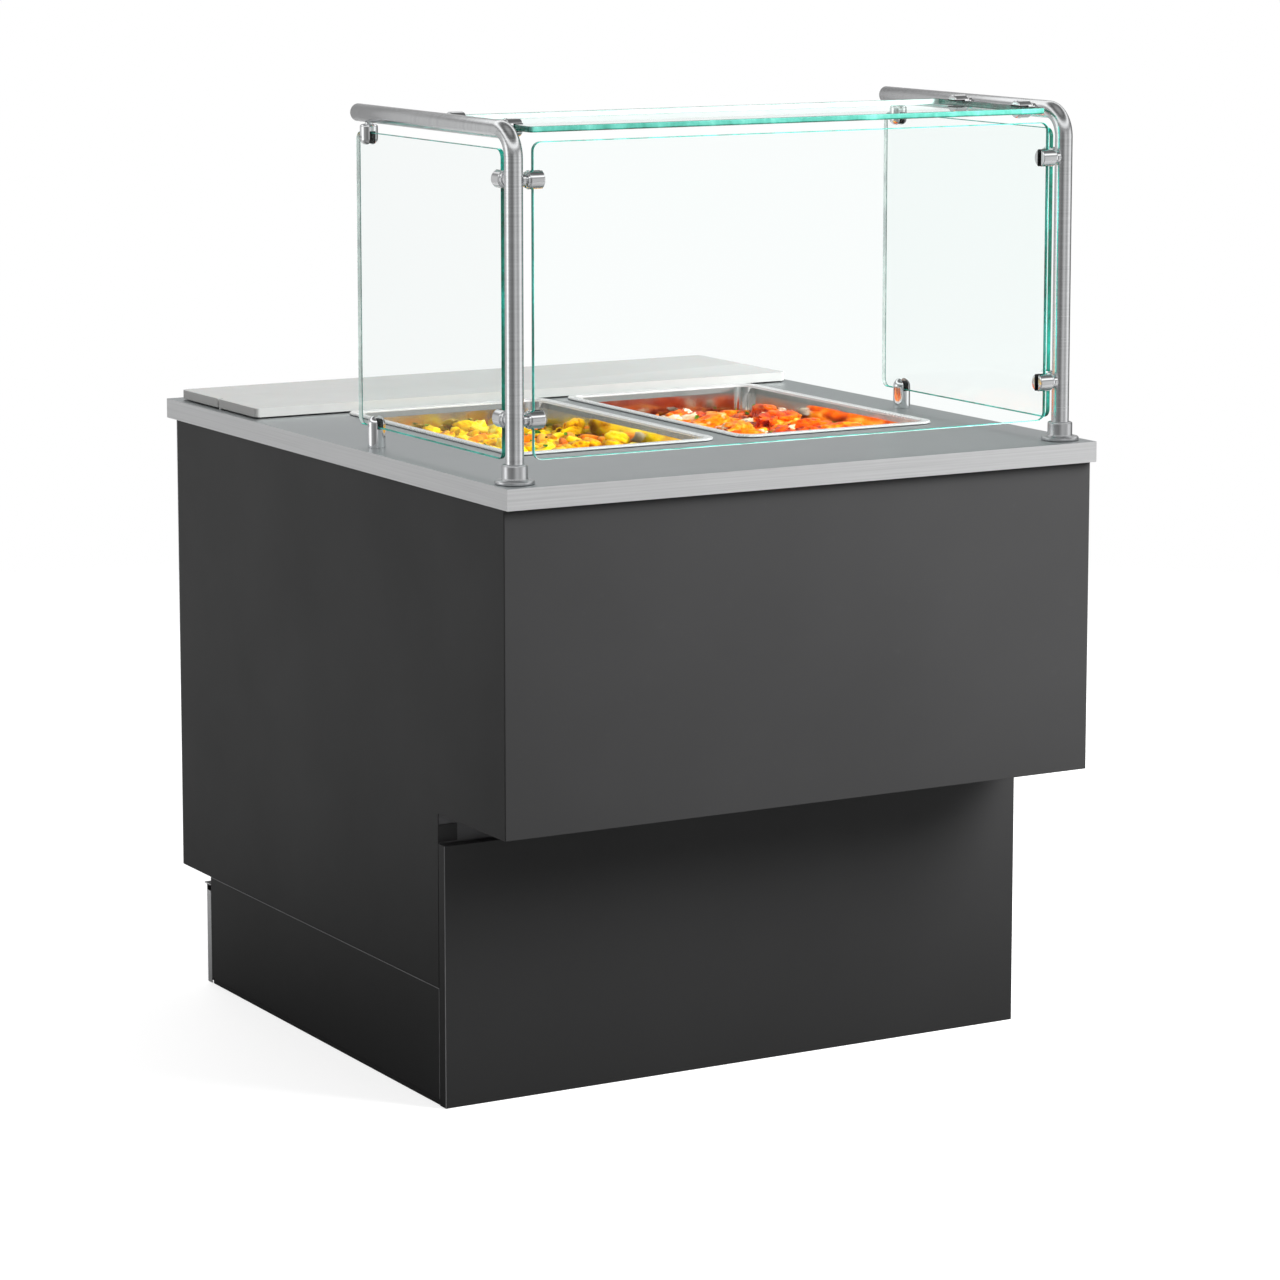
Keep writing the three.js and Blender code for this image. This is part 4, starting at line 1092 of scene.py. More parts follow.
bm = cad_copy("control_panel")
bevel(bm, 0.4, 2, 50)
for x in (265, 649):
    for z in (720, 804):
        add_screw(bm, P(x, PLATE_FRONT, z), (0, 1, 0), 3.6, 2.0, "cross", 1)
finish_mesh("control_panel_plate", bm, [STEEL_X, SCREW, RUBBER], "case", "control_panel", smooth=40)

# rocker switch in its bezel
bz = bmesh.new()
outer = [ring_rect(SWITCH_X, 0, hx, hz, r, 0, 6) for hx, hz, r in ((13.6, 16.2, 2.0), (13.6, 16.2, 2.0), (12.9, 15.5, 1.4), (11.2, 13.8, 0.8), (10.7, 13.3, 0.5), (10.7, 13.3, 0.5))]
heights = (PLATE_FRONT - 0.1, PLATE_FRONT + 1.2, PLATE_FRONT + 1.9, PLATE_FRONT + 1.9, PLATE_FRONT + 1.5, PLATE_FRONT - 0.1)
rings = [[Vector((p.x, P(0, h, 0).y, LO.z + KNOB_Z / 1000 + (p.y - P(0, 0, 0).y))) for p in ring] for ring, h in zip(outer, heights)]
vr = add_loft(bz, rings, False, False)
n = len(vr[0])
for i in range(n):
    bz.faces.new([vr[-1][i], vr[-1][(i + 1) % n], vr[0][(i + 1) % n], vr[0][i]])
finish_mesh("power_switch_bezel", bz, [PHENOLIC], "case", smooth=40)

tilt = math.radians(-8)
arc = [(-3, -5)] + [(9.45 - 0.9 * math.sin(math.pi * (0.5 + k / 24)) ** 2 * 0.0 - 1.1 * (1 - (k / 12 - 1) ** 2) * 0.5, -10.7 + 21.4 * k / 24) for k in range(25)] + [(-3, 5)]
sw = bmesh.new()
rows = []
for xx, inset in ((290.2, 0.5), (290.7, 0.0), (309.3, 0.0), (309.8, 0.5)):
    rows.append([P(xx, SW_Y + (y - (inset if y > 0 else 0)) * math.cos(tilt) - z * math.sin(tilt), KNOB_Z + (y - (inset if y > 0 else 0)) * math.sin(tilt) + z * math.cos(tilt)) for y, z in arc])
add_loft(sw, rows)
for zz, ring in ((6.2, False), (-6.2, True)):
    yy = SW_Y + 9.35 * math.cos(tilt) - zz * math.sin(tilt) - 0.35
    zc = KNOB_Z + 9.35 * math.sin(tilt) + zz * math.cos(tilt)
    axis = Vector((0, math.cos(tilt), math.sin(tilt)))
    if ring:
        prof = [(1.5, -0.3), (1.5, 0.25), (2.2, 0.25), (2.2, -0.3), (1.5, -0.3)]
        add_lathe(sw, P(SWITCH_X, yy, zc), axis, prof, 28, material=1)
    else:
        b_ = bmesh.new()
        add_box(b_, SWITCH_X - 0.4, SWITCH_X + 0.4, yy - 0.3, yy + 0.25, zc - 2.2, zc + 2.2)
        for f in b_.faces:
            f.material_index = 1
        put(sw, b_, Matrix.Identity(4))
finish_mesh("power_switch_rocker", sw, [RED, MARK], "switch", "power_switch", smooth=40)

c = P(LAMP_X, 0, KNOB_Z)
lm = bmesh.new()
add_lathe(lm, c, (0, 1, 0), [(0, 1024), (4.7, 1024), (5, 1024.3), (5, 1039.0), (6.1, 1039.4), (6.1, 1041.6), (5.9, 1042.8), (5.2, 1044.6), (3.9, 1046.0), (2.0, 1046.8), (0, 1047)], 48)
finish_mesh("indicator_lamp_lens", lm, [LAMP], "case", "indicator_lamp", smooth=60)
lm = bmesh.new()
add_lathe(lm, c, (0, 1, 0), [(5.1, 1038.9), (7.7, 1038.9), (8.0, 1039.2), (8.0, 1040.2), (7.6, 1041.0), (6.6, 1041.4), (6.15, 1041.2), (5.1, 1038.9)], 48)
finish_mesh("indicator_lamp_bezel", lm, [CHROME], "case", smooth=50)

# supply gland: thread, hexagon, domed clamping nut with grip ribs, rubber bush round the open bore
c = P(820, 0, 762)
g = bmesh.new()
add_lathe(g, c, (0, 1, 0), [(5.2, 1020), (8.6, 1020)] + [(8.6 if k % 2 else 9.0, 1020.6 + k * 0.75) for k in range(22)] + [(9.0, 1037.6)], 48)
add_loft(g, [hex_ring(c, y, r, 12.1) for y, r in ((1037.4, 13.2), (1037.9, 13.9), (1042.4, 13.9), (1043.0, 13.0), (1043.0, 9.0))], False, False)
add_loft(g, [ribbed_ring(c, y, r, 12, d) for y, r, d in ((1042.9, 9.0, 0), (1043.4, 11.6, 0), (1044.2, 12.0, 0.6), (1053.6, 11.7, 0.8), (1055.6, 11.3, 0.2), (1057.8, 10.4, 0), (1059.4, 9.2, 0), (1060.0, 8.4, 0), (1060.0, 7.6, 0), (1059.0, 7.4, 0))], False, False)
bush = add_lathe(g, c, (0, 1, 0), [(7.5, 1058.6), (7.2, 1059.3), (6.0, 1059.4), (5.3, 1058.6), (5.2, 1056.0), (5.2, 1020)], 48, material=1)
finish_mesh("power_gland_moulding", g, [PHENOLIC, RUBBER], "case", "power_gland", smooth=40, weighted=False)

# heating elements: one bent tube under each well, with its cold ends
for tag, cx in zip(("left", "right"), PAN_X):
    z = WELL_FLOOR - 4.4
    e = bmesh.new()
    path = route(
        [(cx - 60, DRAIN_Y + 38, z - 20), (cx - 60, DRAIN_Y + 38, z), (cx - 120, DRAIN_Y + 38, z), (cx - 120, PAN_Y - 200, z), (cx - 40, PAN_Y - 200, z), (cx - 40, DRAIN_Y - 40, z),
         (cx + 40, DRAIN_Y - 40, z), (cx + 40, PAN_Y - 200, z), (cx + 120, PAN_Y - 200, z), (cx + 120, DRAIN_Y + 38, z), (cx + 60, DRAIN_Y + 38, z), (cx + 60, DRAIN_Y + 38, z - 20)], 8, 8)
    add_tube(e, path, 3.95, 24)
    for s in (-1, 1):
        q = P(cx + 60 * s, DRAIN_Y + 38, 0)
        add_lathe(e, q, (0, 0, 1), [(3.9, z - 11), (5.6, z - 11), (6.0, z - 11.4), (6.0, z - 15.6), (5.6, z - 16), (3.9, z - 16)], 6, material=1)
        add_lathe(e, q, (0, 0, 1), [(0, z - 20.0), (1.6, z - 20.0), (1.6, z - 17.0), (3.4, z - 17.0), (3.4, z - 15.8)], 24, material=2)
    finish_mesh(f"heating_element_{tag}_tube", e, [SHEATH, BRASS, SCREW], "case", f"heating_element_{tag}", smooth=50)

# drain manifold: pipes, union nuts, ball valve and spout
d = bmesh.new()


def pipe(a, b, r, mat=0, seg=36):
    pa, pb = P(*a), P(*b)
    l = (pb - pa).length * 1000
    add_lathe(d, pa, pb - pa, [(0, 0), (r - 0.6, 0), (r, 0.6), (r, l - 0.6), (r - 0.6, l), (0, l)], seg, material=mat)


def nut(at, axis, r, l, seg=6):
    add_lathe(d, P(*at), axis, [(r * 0.7, -l / 2), (r * 0.93, -l / 2), (r, -l / 2 + 1), (r, l / 2 - 1), (r * 0.93, l / 2), (r * 0.7, l / 2)], seg)


mid = 914.4 / 2
pipe((PAN_X[0] - 11, DRAIN_Y, MANIFOLD_Z), (PAN_X[1] + 11, DRAIN_Y, MANIFOLD_Z), 9.6)
for x in PAN_X:
    pipe((x, DRAIN_Y, MANIFOLD_Z), (x, DRAIN_Y, WELL_FLOOR - 22.4), 9.6)
    nut((x, DRAIN_Y, WELL_FLOOR - 28.6), (0, 0, 1), 11, 11)
    nut((x + (11 if x < mid else -11), DRAIN_Y, MANIFOLD_Z), (1, 0, 0), 11, 9)
    add_lathe(d, P(x, DRAIN_Y, MANIFOLD_Z), (0, 0, 1), [(11 * math.sin(math.radians(a)), 11 * -math.cos(math.radians(a))) for a in range(0, 181, 15)], 32)
pipe((mid, DRAIN_Y, MANIFOLD_Z), (mid, VALVE_Y, MANIFOLD_Z), 9.6)
for y in (DRAIN_Y + 16, VALVE_Y - 40):
    nut((mid, y, MANIFOLD_Z), (0, 1, 0), 11, 10)
vb = [(12, -22), (14.5, -22), (15.6, -21), (15.6, -12), (14.6, -11)] + [(11 + 5.6 * math.cos(math.radians(a)), 10.5 * math.sin(math.radians(a))) for a in range(-70, 71, 14)] + [(14.6, 11), (15.6, 12), (15.6, 19), (14.5, 20), (0, 20)]
add_lathe(d, P(mid, VALVE_Y, MANIFOLD_Z), (0, 1, 0), [(0, -22)] + vb, 48)
pipe((mid, VALVE_Y + 2, MANIFOLD_Z - 8), (mid, VALVE_Y + 2, MANIFOLD_Z - 52), 9.8)
nut((mid, VALVE_Y + 2, MANIFOLD_Z - 22), (0, 0, 1), 11, 10)
add_lathe(d, P(mid, VALVE_Y, MANIFOLD_Z), (0, 0, 1), [(8.5, 10), (8.5, 17), (7.0, 17.6), (7.0, 24), (3.4, 24), (3.4, 23)], 32)
finish_mesh("drain_manifold_pipes", d, [BRASS], "case", "drain_manifold", smooth=40)

lv = bmesh.new()
lz = MANIFOLD_Z + 24.4
add_lathe(lv, P(mid, VALVE_Y, lz), (0, 0, 1), [(0, 0), (8.7, 0), (9, 0.3), (9, 1.6), (8.6, 2.0), (8.6, 4.4), (0, 4.4)], 36, material=1)
add_lathe(lv, P(mid, VALVE_Y, lz + 4.2), (0, 0, 1), [(0, -0.4), (4.6, -0.4), (4.6, 1.0), (4.2, 1.4), (0, 1.4)], 6, material=1)
rings = []
for k in range(15):
    u = k / 14
    x = mid + 9 + 69 * u
    end = math.sin(math.acos(max(-1, min(1, (u - 0.5) * 2)))) ** 0.25 if 0 < u < 1 else 0.2
    hw, ht = (5.0 + 0.9 * u) * max(end, 0.35), 1.75 * max(end, 0.5)
    ring = []
    for i in range(24):
        t = 2 * math.pi * i / 24
        cs, sn = math.cos(t), math.sin(t)
        ring.append(P(x, VALVE_Y + math.copysign(abs(cs) ** 0.55, cs) * hw, lz + 2.8 + math.copysign(abs(sn) ** 0.7, sn) * ht))
    rings.append(ring)
add_loft(lv, rings)
b_ = bmesh.new()
add_box(b_, mid + 3, mid + 14, VALVE_Y - 4.4, VALVE_Y + 4.4, lz + 2.0, lz + 3.8)
bevel(b_, 0.4, 1)
for f in b_.faces:
    f.material_index = 1
put(lv, b_, Matrix.Identity(4))
finish_mesh("drain_lever_handle", lv, [RED, SCREW], "drain_handle", "drain_lever", smooth=45)

# piano hinges: leaf with screws and a barrel of separate knuckles
for side in ("left", "right"):
    h = bmesh.new()
    z0, z1 = 184.0, 682.0
    hx_ = 14.0 if side == "left" else 914.4 - 14.0
    s = 1 if side == "left" else -1
    xs = sorted((hx_ - 11 * s, hx_ - 0.9 * s))
    add_box(h, xs[0], xs[1], 1037.5, 1038.7, z0, z1)
    xs = sorted((hx_ - 2.1 * s, hx_ - 0.8 * s))
    add_box(h, xs[0], xs[1], 1038.5, 1055.0, z0, z1)
    bevel(h, 0.3, 2)
    prof, z, step = [(0, z0)], z0, (z1 - z0) / 20
    for k in range(20):
        prof += [(2.6, z + 0.2), (2.95, z + 0.6), (2.95, z + step - 0.6), (2.6, z + step - 0.2), (2.1, z + step - 0.1), (2.1, z + step + 0.1)]
        z += step
    prof[-1] = (0, z1)
    add_lathe(h, P(hx_, 1055.5, 0), (0, 0, 1), prof, 28)
    for k in range(5):
        add_screw(h, P(hx_ - 6.2 * s, 1038.7, z0 + 30 + k * (z1 - z0 - 60) / 4), (0, 1, 0), 2.6, 1.3, "cross", 1, 20)
    finish_mesh(f"door_hinge_{side}_knuckles", h, [STEEL_Z, SCREW, RUBBER], body_of_node(f"door_hinge_{side}"), f"door_hinge_{side}", smooth=40)

# ------------------------------------------------------------------ food
def super_point(p, power):
    q = Vector([math.copysign(abs(c) ** power, c) for c in p])
    return q


class Heap:
    """A height map of one pan. Each piece comes to rest on what is already under it."""

    CELL = 2.5

    def __init__(self, cx, hx, hy, base):
        self.cx, self.hx, self.hy = cx, hx, hy
        self.nx, self.ny = int(2 * hx / self.CELL) + 1, int(2 * hy / self.CELL) + 1
        self.h = [[base(self.x(i), self.y(j)) for j in range(self.ny)] for i in range(self.nx)]

    def x(self, i):
        return self.cx - self.hx + i * self.CELL

    def y(self, j):
        return PAN_Y - self.hy + j * self.CELL

    def cells(self, x, y, a, b, yaw):
        c, s = math.cos(yaw), math.sin(yaw)
        reach = max(a, b)
        i0, i1 = int((x - reach - self.x(0)) / self.CELL), int((x + reach - self.x(0)) / self.CELL) + 1
        j0, j1 = int((y - reach - self.y(0)) / self.CELL), int((y + reach - self.y(0)) / self.CELL) + 1
        for i in range(max(0, i0), min(self.nx, i1 + 1)):
            for j in range(max(0, j0), min(self.ny, j1 + 1)):
                dx, dy = self.x(i) - x, self.y(j) - y
                u, v = (dx * c + dy * s) / a, (-dx * s + dy * c) / b
                d = u * u + v * v
                if d < 1:
                    yield i, j, d

    def drop(self, x, y, a, b, t, yaw, sink=0.45):
        """Centre height (mm) at which a piece of half sizes a, b, t rests, and the map is raised under it."""
        found = list(self.cells(x, y, a, b, yaw))
        if not found:
            return None
        need = sorted(self.h[i][j] + t * math.sqrt(1 - d) for i, j, d in found)
        z = need[int(len(need) * 0.72)] - t * sink
        for i, j, d in found:
            self.h[i][j] = max(self.h[i][j], z + t * math.sqrt(1 - d))
        return z


def inside(cx, hx, hy, x, y, reach, r=18.0):
    """Keeps a piece's centre where its own reach stays within the rounded bowl."""
    lx, ly = hx - reach, hy - reach
    return max(cx - lx, min(cx + lx, x)), max(PAN_Y - ly, min(PAN_Y + ly, y))


ICO = {}


def ico(sub):
    if sub not in ICO:
        b = bmesh.new()
        bmesh.ops.create_icosphere(b, subdivisions=sub, radius=1.0)
        ICO[sub] = ([v.co.copy() for v in b.verts], [[v.index for v in f.verts] for f in b.faces])
        b.free()
    return ICO[sub]


def add_blob(bm, tone, centre, size, rot, seed, power=0.8, rough=0.2, freq=1.6, fine=0.05, sub=3, value=0.5, bend=0.0, flat=None):
    """An irregular cut or torn piece of food: a softened block pushed about by smooth noise."""
    pts, faces = ico(sub)
    off = Vector((seed * 3.71, seed * 1.93, -seed * 2.37))
    new = []
    for p in pts:
        q = super_point(p, power)
        n1 = noise.noise(p * freq + off)
        n2 = noise.noise(p * freq * 3.1 - off)
        n3 = noise.noise(p * freq * 7.3 + off * 2)
        q = q * (1 + rough * n1 + rough * 0.45 * n2 + fine * n3)
        if bend:
            q.z -= bend * (q.x * q.x)
            q.y += bend * 0.6 * q.x * q.x
        if flat is not None and q.z < flat:
            q.z = flat + (q.z - flat) * 0.25
        q = Vector((q.x * size[0], q.y * size[1], q.z * size[2])) / 1000
        v = bm.verts.new(centre + rot @ q)
        v[tone] = max(0.0, min(1.0, value + 0.22 * n1 + 0.12 * n2))
        new.append(v)
    for f in faces:
        bm.faces.new([new[i] for i in f])


def add_pasta(bm, tone, centre, rot, seed, length=30.0, r=6.2, wall=1.5, curve=0.5, value=0.5):
    """A short bent tube with open ends and fine ridges."""
    seg, steps = 20, 8
    outer, inner = [], []
    for k in range(steps + 1):
        u = k / steps - 0.5
        ang = u * curve * 2
        rad = length / max(curve * 2, 0.05)
        c = Vector((rad * math.sin(ang), 0, rad * (1 - math.cos(ang))))
        t = Vector((math.cos(ang), 0, math.sin(ang)))
        b, n = Vector((0, 1, 0)), Vector((-t.z, 0, t.x))
        wob = 1 + 0.06 * noise.noise(Vector((u * 4, seed, 0)))
        for ring, rr in ((outer, r * wob), (inner, (r - wall) * wob)):
            pts = []
            for i in range(seg):
                q = 2 * math.pi * i / seg
                w = rr * (1 + (0.035 if ring is outer and i % 2 else 0.0))
                pts.append(centre + rot @ ((c + b * math.cos(q) * w + n * math.sin(q) * w * 0.92) / 1000))
            ring.append(pts)
    loop = outer + list(reversed(inner)) + [outer[0]]
    vr = [[bm.verts.new(p) for p in ring] for ring in loop[:-1]]
    for ring in vr:
        for v in ring:
            v[tone] = value
    vr.append(vr[0])
    for a, b in zip(vr, vr[1:]):
        for i in range(seg):
            j = (i + 1) % seg
            bm.faces.new([a[i], a[j], b[j], b[i]])


def add_leaf(bm, tone, centre, rot, size, seed, value=0.5):
    """A chopped herb leaf: a small curled lens."""
    n, rows = 7, 3
    up, dn = [], []
    for k in range(n + 1):
        u = k / n
        w = math.sin(math.pi * min(max(u, 0.02), 0.98)) ** 0.8 * size * 0.42
        for lst, s in ((up, 1), (dn, -1)):
            row = []
            for m in range(rows):
                v = (m / (rows - 1)) * 2 - 1
                z = 0.28 * size * (u - 0.5) ** 2 * 2 + 0.10 * size * abs(v) + s * 0.28 * (1 - abs(v) * 0.6)
                row.append(centre + rot @ (Vector(((u - 0.5) * size, v * w, z + 0.5 * noise.noise(Vector((u * 2, v, seed))))) / 1000))
            lst.append(row)
    vu = [[bm.verts.new(p) for p in row] for row in up]
    vd = [[bm.verts.new(p) for p in row] for row in dn]
    for rows_ in (vu, vd):
        for row in rows_:
            for v in row:
                v[tone] = value
    for k in range(n):
        for m in range(rows - 1):
            bm.faces.new([vu[k][m], vu[k + 1][m], vu[k + 1][m + 1], vu[k][m + 1]])
            bm.faces.new([vd[k][m], vd[k][m + 1], vd[k + 1][m + 1], vd[k + 1][m]])
        for m in (0, rows - 1):
            q = [vu[k][m], vd[k][m], vd[k + 1][m], vu[k + 1][m]]
            bm.faces.new(q if m == 0 else list(reversed(q)))
    for k in (0, n):
        for m in range(rows - 1):
            q = [vu[k][m], vu[k][m + 1], vd[k][m + 1], vd[k][m]]
            bm.faces.new(q if k == 0 else list(reversed(q)))


def food_mat(name, stops, rough=(0.22, 0.42), cell=150, patch=None, sss=0.02, coat=0.02, depth=0.0011):
    m = Mat(name)
    att = m.node("ShaderNodeAttribute", attribute_name="tone")
    mott = m.noise(cell, 4, 0.6)
    big = m.noise(cell * 0.22, 3, 0.55)
    mixv = m.math("ADD", m.math("MULTIPLY", att.outputs["Fac"], 0.72), m.math("MULTIPLY", m.math("SUBTRACT", mott, 0.5), 1.2))
    mixv = m.math("ADD", mixv, m.math("MULTIPLY", m.math("SUBTRACT", big, 0.5), 0.5))
    mixv = m.math("ADD", mixv, 0.14)
    col = m.ramp(mixv, stops)
    if patch:
        spots = m.noise(patch[1], 4, 0.62, distortion=0.6)
        col = m.mix(m.span(spots, 0, 1, patch[2], patch[3]), col, patch[0])
    pore = m.noise(cell * 4, 3, 0.6)
    m.set(
        Base_Color=col,
        Roughness=m.span(mott, rough[0], rough[1], 0.3, 0.7),
        Specular_IOR_Level=0.14,
        Subsurface_Weight=sss,
        Subsurface_Scale=0.006,
        Coat_Weight=coat,
        Coat_Roughness=0.12,
        Normal=m.bump(m.math("ADD", m.math("MULTIPLY", mott, 0.7), m.math("MULTIPLY", pore, 0.3)), depth, 0.5),
    )
    return m.m


YELLOW = food_mat("yellow_vegetables", [(0.08, (0.40, 0.12, 0.002)), (0.28, (0.78, 0.34, 0.001)), (0.52, (0.93, 0.56, 0.002)), (0.80, (0.96, 0.72, 0.012)), (0.98, (0.97, 0.86, 0.20))])
PASTA = food_mat("yellow_pasta", [(0.2, (0.80, 0.40, 0.004)), (0.5, (0.94, 0.62, 0.008)), (0.8, (0.97, 0.78, 0.08))], cell=90)
CARROT = food_mat("orange_vegetables", [(0.2, (0.62, 0.10, 0.004)), (0.5, (0.86, 0.22, 0.008)), (0.8, (0.95, 0.40, 0.02))])
PEPPER = food_mat("red_vegetables", [(0.2, (0.36, 0.012, 0.006)), (0.6, (0.68, 0.05, 0.01)), (0.9, (0.85, 0.16, 0.03))])
HERB = food_mat("green_herbs", [(0.2, (0.02, 0.075, 0.008)), (0.6, (0.10, 0.24, 0.015)), (0.9, (0.30, 0.42, 0.03))], sss=0.05)
CREAM = food_mat("cream_pieces", [(0.2, (0.66, 0.40, 0.17)), (0.5, (0.83, 0.68, 0.44)), (0.8, (0.88, 0.80, 0.64))], cell=110)
CHICKEN = food_mat(
    "sauced_chicken",
    [(0.10, (0.20, 0.012, 0.002)), (0.34, (0.50, 0.035, 0.003)), (0.54, (0.84, 0.105, 0.0)), (0.76, (0.93, 0.23, 0.001)), (0.96, (0.92, 0.46, 0.08))],
    cell=85,
    patch=((0.90, 0.62, 0.34), 30, 0.66, 0.74),
    depth=0.0020,
)
BED_L = food_mat("yellow_sauce", [(0.2, (0.30, 0.08, 0.003)), (0.5, (0.62, 0.25, 0.006)), (0.8, (0.84, 0.48, 0.02))], rough=(0.15, 0.3), cell=120)
BED_R = food_mat("red_sauce", [(0.2, (0.16, 0.014, 0.003)), (0.5, (0.42, 0.045, 0.005)), (0.8, (0.72, 0.12, 0.008))], rough=(0.12, 0.26), cell=120)


def make_bed(tag, cx, level, mat):
    """The sauce under the pieces: a lumpy surface that fills the bowl's outline."""
    bm = bmesh.new()
    hx, hy, r = 144.5, 241.5, 17.5
    outline = ring_rect(cx, PAN_Y, hx, hy, r, 0, 8)
    tone = bm.verts.layers.float.new("tone")
    rings = []
    for k, (s, z) in enumerate(((0.94, 800.0), (0.985, 804.0), (1.0, 812.0))):
        rings.append([Vector(((p.x - P(cx, 0, 0).x) * s + P(cx, 0, 0).x, (p.y - P(0, PAN_Y, 0).y) * s + P(0, PAN_Y, 0).y, LO.z + z / 1000)) for p in outline])
    steps = 26
    for k in range(steps + 1):
        s = 1.0 - (k / steps) * 0.985
        ring = []
        for p in outline:
            x, y = (p.x - P(cx, 0, 0).x) * s, (p.y - P(0, PAN_Y, 0).y) * s
            q = Vector((x * 28, y * 28, 1.7 if tag == "left" else 5.1))
            z = level(cx + x * 1000, PAN_Y + y * 1000) + 4.0 * noise.noise(q) + 1.8 * noise.noise(q * 3.3)
            ring.append(Vector((x + P(cx, 0, 0).x, y + P(0, PAN_Y, 0).y, LO.z + z / 1000)))
        rings.append(ring)
    vr = add_loft(bm, rings, True, True)
    for ring in vr:
        for v in ring:
            v[tone] = 0.5 + 0.5 * noise.noise(v.co * 40)
    return finish_mesh(f"food_{tag}_sauce", bm, [mat], f"{tag}_pan", f"food_{tag}", smooth=80, weighted=False)


def food_object(name, bm, mat, body):
    return finish_mesh(name, bm, [mat], body, smooth=70, weighted=False, recalc=True)


def new_food():
    b = bmesh.new()
    return b, b.verts.layers.float.new("tone")


def euler(rx, ry, rz):
    return Matrix.Rotation(rz, 3, "Z") @ Matrix.Rotation(ry, 3, "Y") @ Matrix.Rotation(rx, 3, "X")


def fill_left():
    rnd = random.Random(41)
    cx, hx, hy = PAN_X[0], 143.0, 240.0
    # the vegetables lie a little lower towards the operator's end
    level = lambda x, y: 816.0 - 4.5 * max(0.0, (y - PAN_Y) / hy) + 3.0 * math.cos((x - cx) / hx * 1.35)
    heap = Heap(cx, hx, hy, level)
    kinds = {k: new_food() for k in ("yellow", "pasta", "carrot", "pepper", "herb", "cream")}
    spots = []
    nx, ny = 11, 18
    for i in range(nx):
        for j in range(ny):
            x = cx - hx + (i + 0.5 + rnd.uniform(-0.34, 0.34)) * 2 * hx / nx
            y = PAN_Y - hy + (j + 0.5 + rnd.uniform(-0.34, 0.34)) * 2 * hy / ny
            spots.append((x, y))
    rnd.shuffle(spots)
    spots += [(cx + rnd.uniform(-hx, hx), PAN_Y + rnd.uniform(-hy, hy) - 10) for _ in range(70)]
    for n, (x, y) in enumerate(spots):
        pick = rnd.random()
        yaw = rnd.uniform(0, math.pi)
        seed = n + 1
        if pick < 0.54:
            a, b, t = rnd.uniform(11.5, 18), rnd.uniform(9.5, 13), rnd.uniform(8, 11)
            kind = "yellow"
        elif pick < 0.72:
            a, b, t = rnd.uniform(13, 17), 7.0, 7.0
            kind = "pasta"
        elif pick < 0.90:
            a, b, t = rnd.uniform(14, 22), rnd.uniform(6, 9), rnd.uniform(5, 7)
            kind = "carrot"
        elif pick < 0.96:
            a, b, t = rnd.uniform(9, 14), rnd.uniform(5, 8), 4.0
            kind = "pepper"
        else:
            a, b, t = rnd.uniform(9, 14), rnd.uniform(8, 11), rnd.uniform(6, 9)
            kind = "cream"
        x, y = inside(cx, hx, hy, x, y, max(a, b) + 1.5)
        z = heap.drop(x, y, a, b, t, yaw, 0.55)
        if z is None:
            continue
        z = min(z, 838.0)
        rot = euler(rnd.uniform(-0.35, 0.35), rnd.uniform(-0.35, 0.35), yaw)
        bm, tone = kinds[kind]
        c = P(x, y, z)
        if kind == "pasta":
            add_pasta(bm, tone, c, euler(rnd.uniform(-1.2, 1.2), rnd.uniform(-0.3, 0.3), yaw), seed, 2 * a, rnd.uniform(5.8, 7.0), 1.6, rnd.uniform(0.25, 0.8), rnd.uniform(0.35, 0.8))
        elif kind == "yellow":
            add_blob(bm, tone, c, (a, b, t), rot, seed, rnd.uniform(0.62, 0.9), 0.30, 1.6, 0.08, 3, rnd.uniform(0.12, 0.90))
        elif kind == "carrot":
            add_blob(bm, tone, c, (a, b, t), rot, seed, 0.6, 0.13, 1.2, 0.03, 2, rnd.uniform(0.3, 0.9), rnd.uniform(0, 0.25))
        elif kind == "pepper":
            add_blob(bm, tone, c, (a, b, t), rot, seed, 0.6, 0.15, 1.4, 0.03, 2, rnd.uniform(0.3, 0.8), rnd.uniform(0.1, 0.4))
        else:
            add_blob(bm, tone, c, (a, b, t), rot, seed, 0.7, 0.26, 1.9, 0.07, 2, rnd.uniform(0.35, 0.8))
    bm, tone = kinds["herb"]
    for n in range(150):
        x, y = inside(cx, hx, hy, cx + rnd.uniform(-hx, hx), PAN_Y + rnd.uniform(-hy, hy), 9)
        size = rnd.uniform(5, 11)
        z = heap.drop(x, y, size * 0.4, size * 0.3, 0.6, 0.0, -0.2)
        if z is None:
            continue
        add_leaf(bm, tone, P(x, y, min(z + 0.6, 843)), euler(rnd.uniform(-0.7, 0.7), rnd.uniform(-0.7, 0.7), rnd.uniform(0, 6.28)), size, n, rnd.random())
    make_bed("left", cx, lambda x, y: level(x, y) + 1.0, BED_L)
    for kind, mat in (("yellow", YELLOW), ("pasta", PASTA), ("carrot", CARROT), ("pepper", PEPPER), ("herb", HERB), ("cream", CREAM)):
        food_object(f"food_left_{kind}", kinds[kind][0], mat, "left_pan")


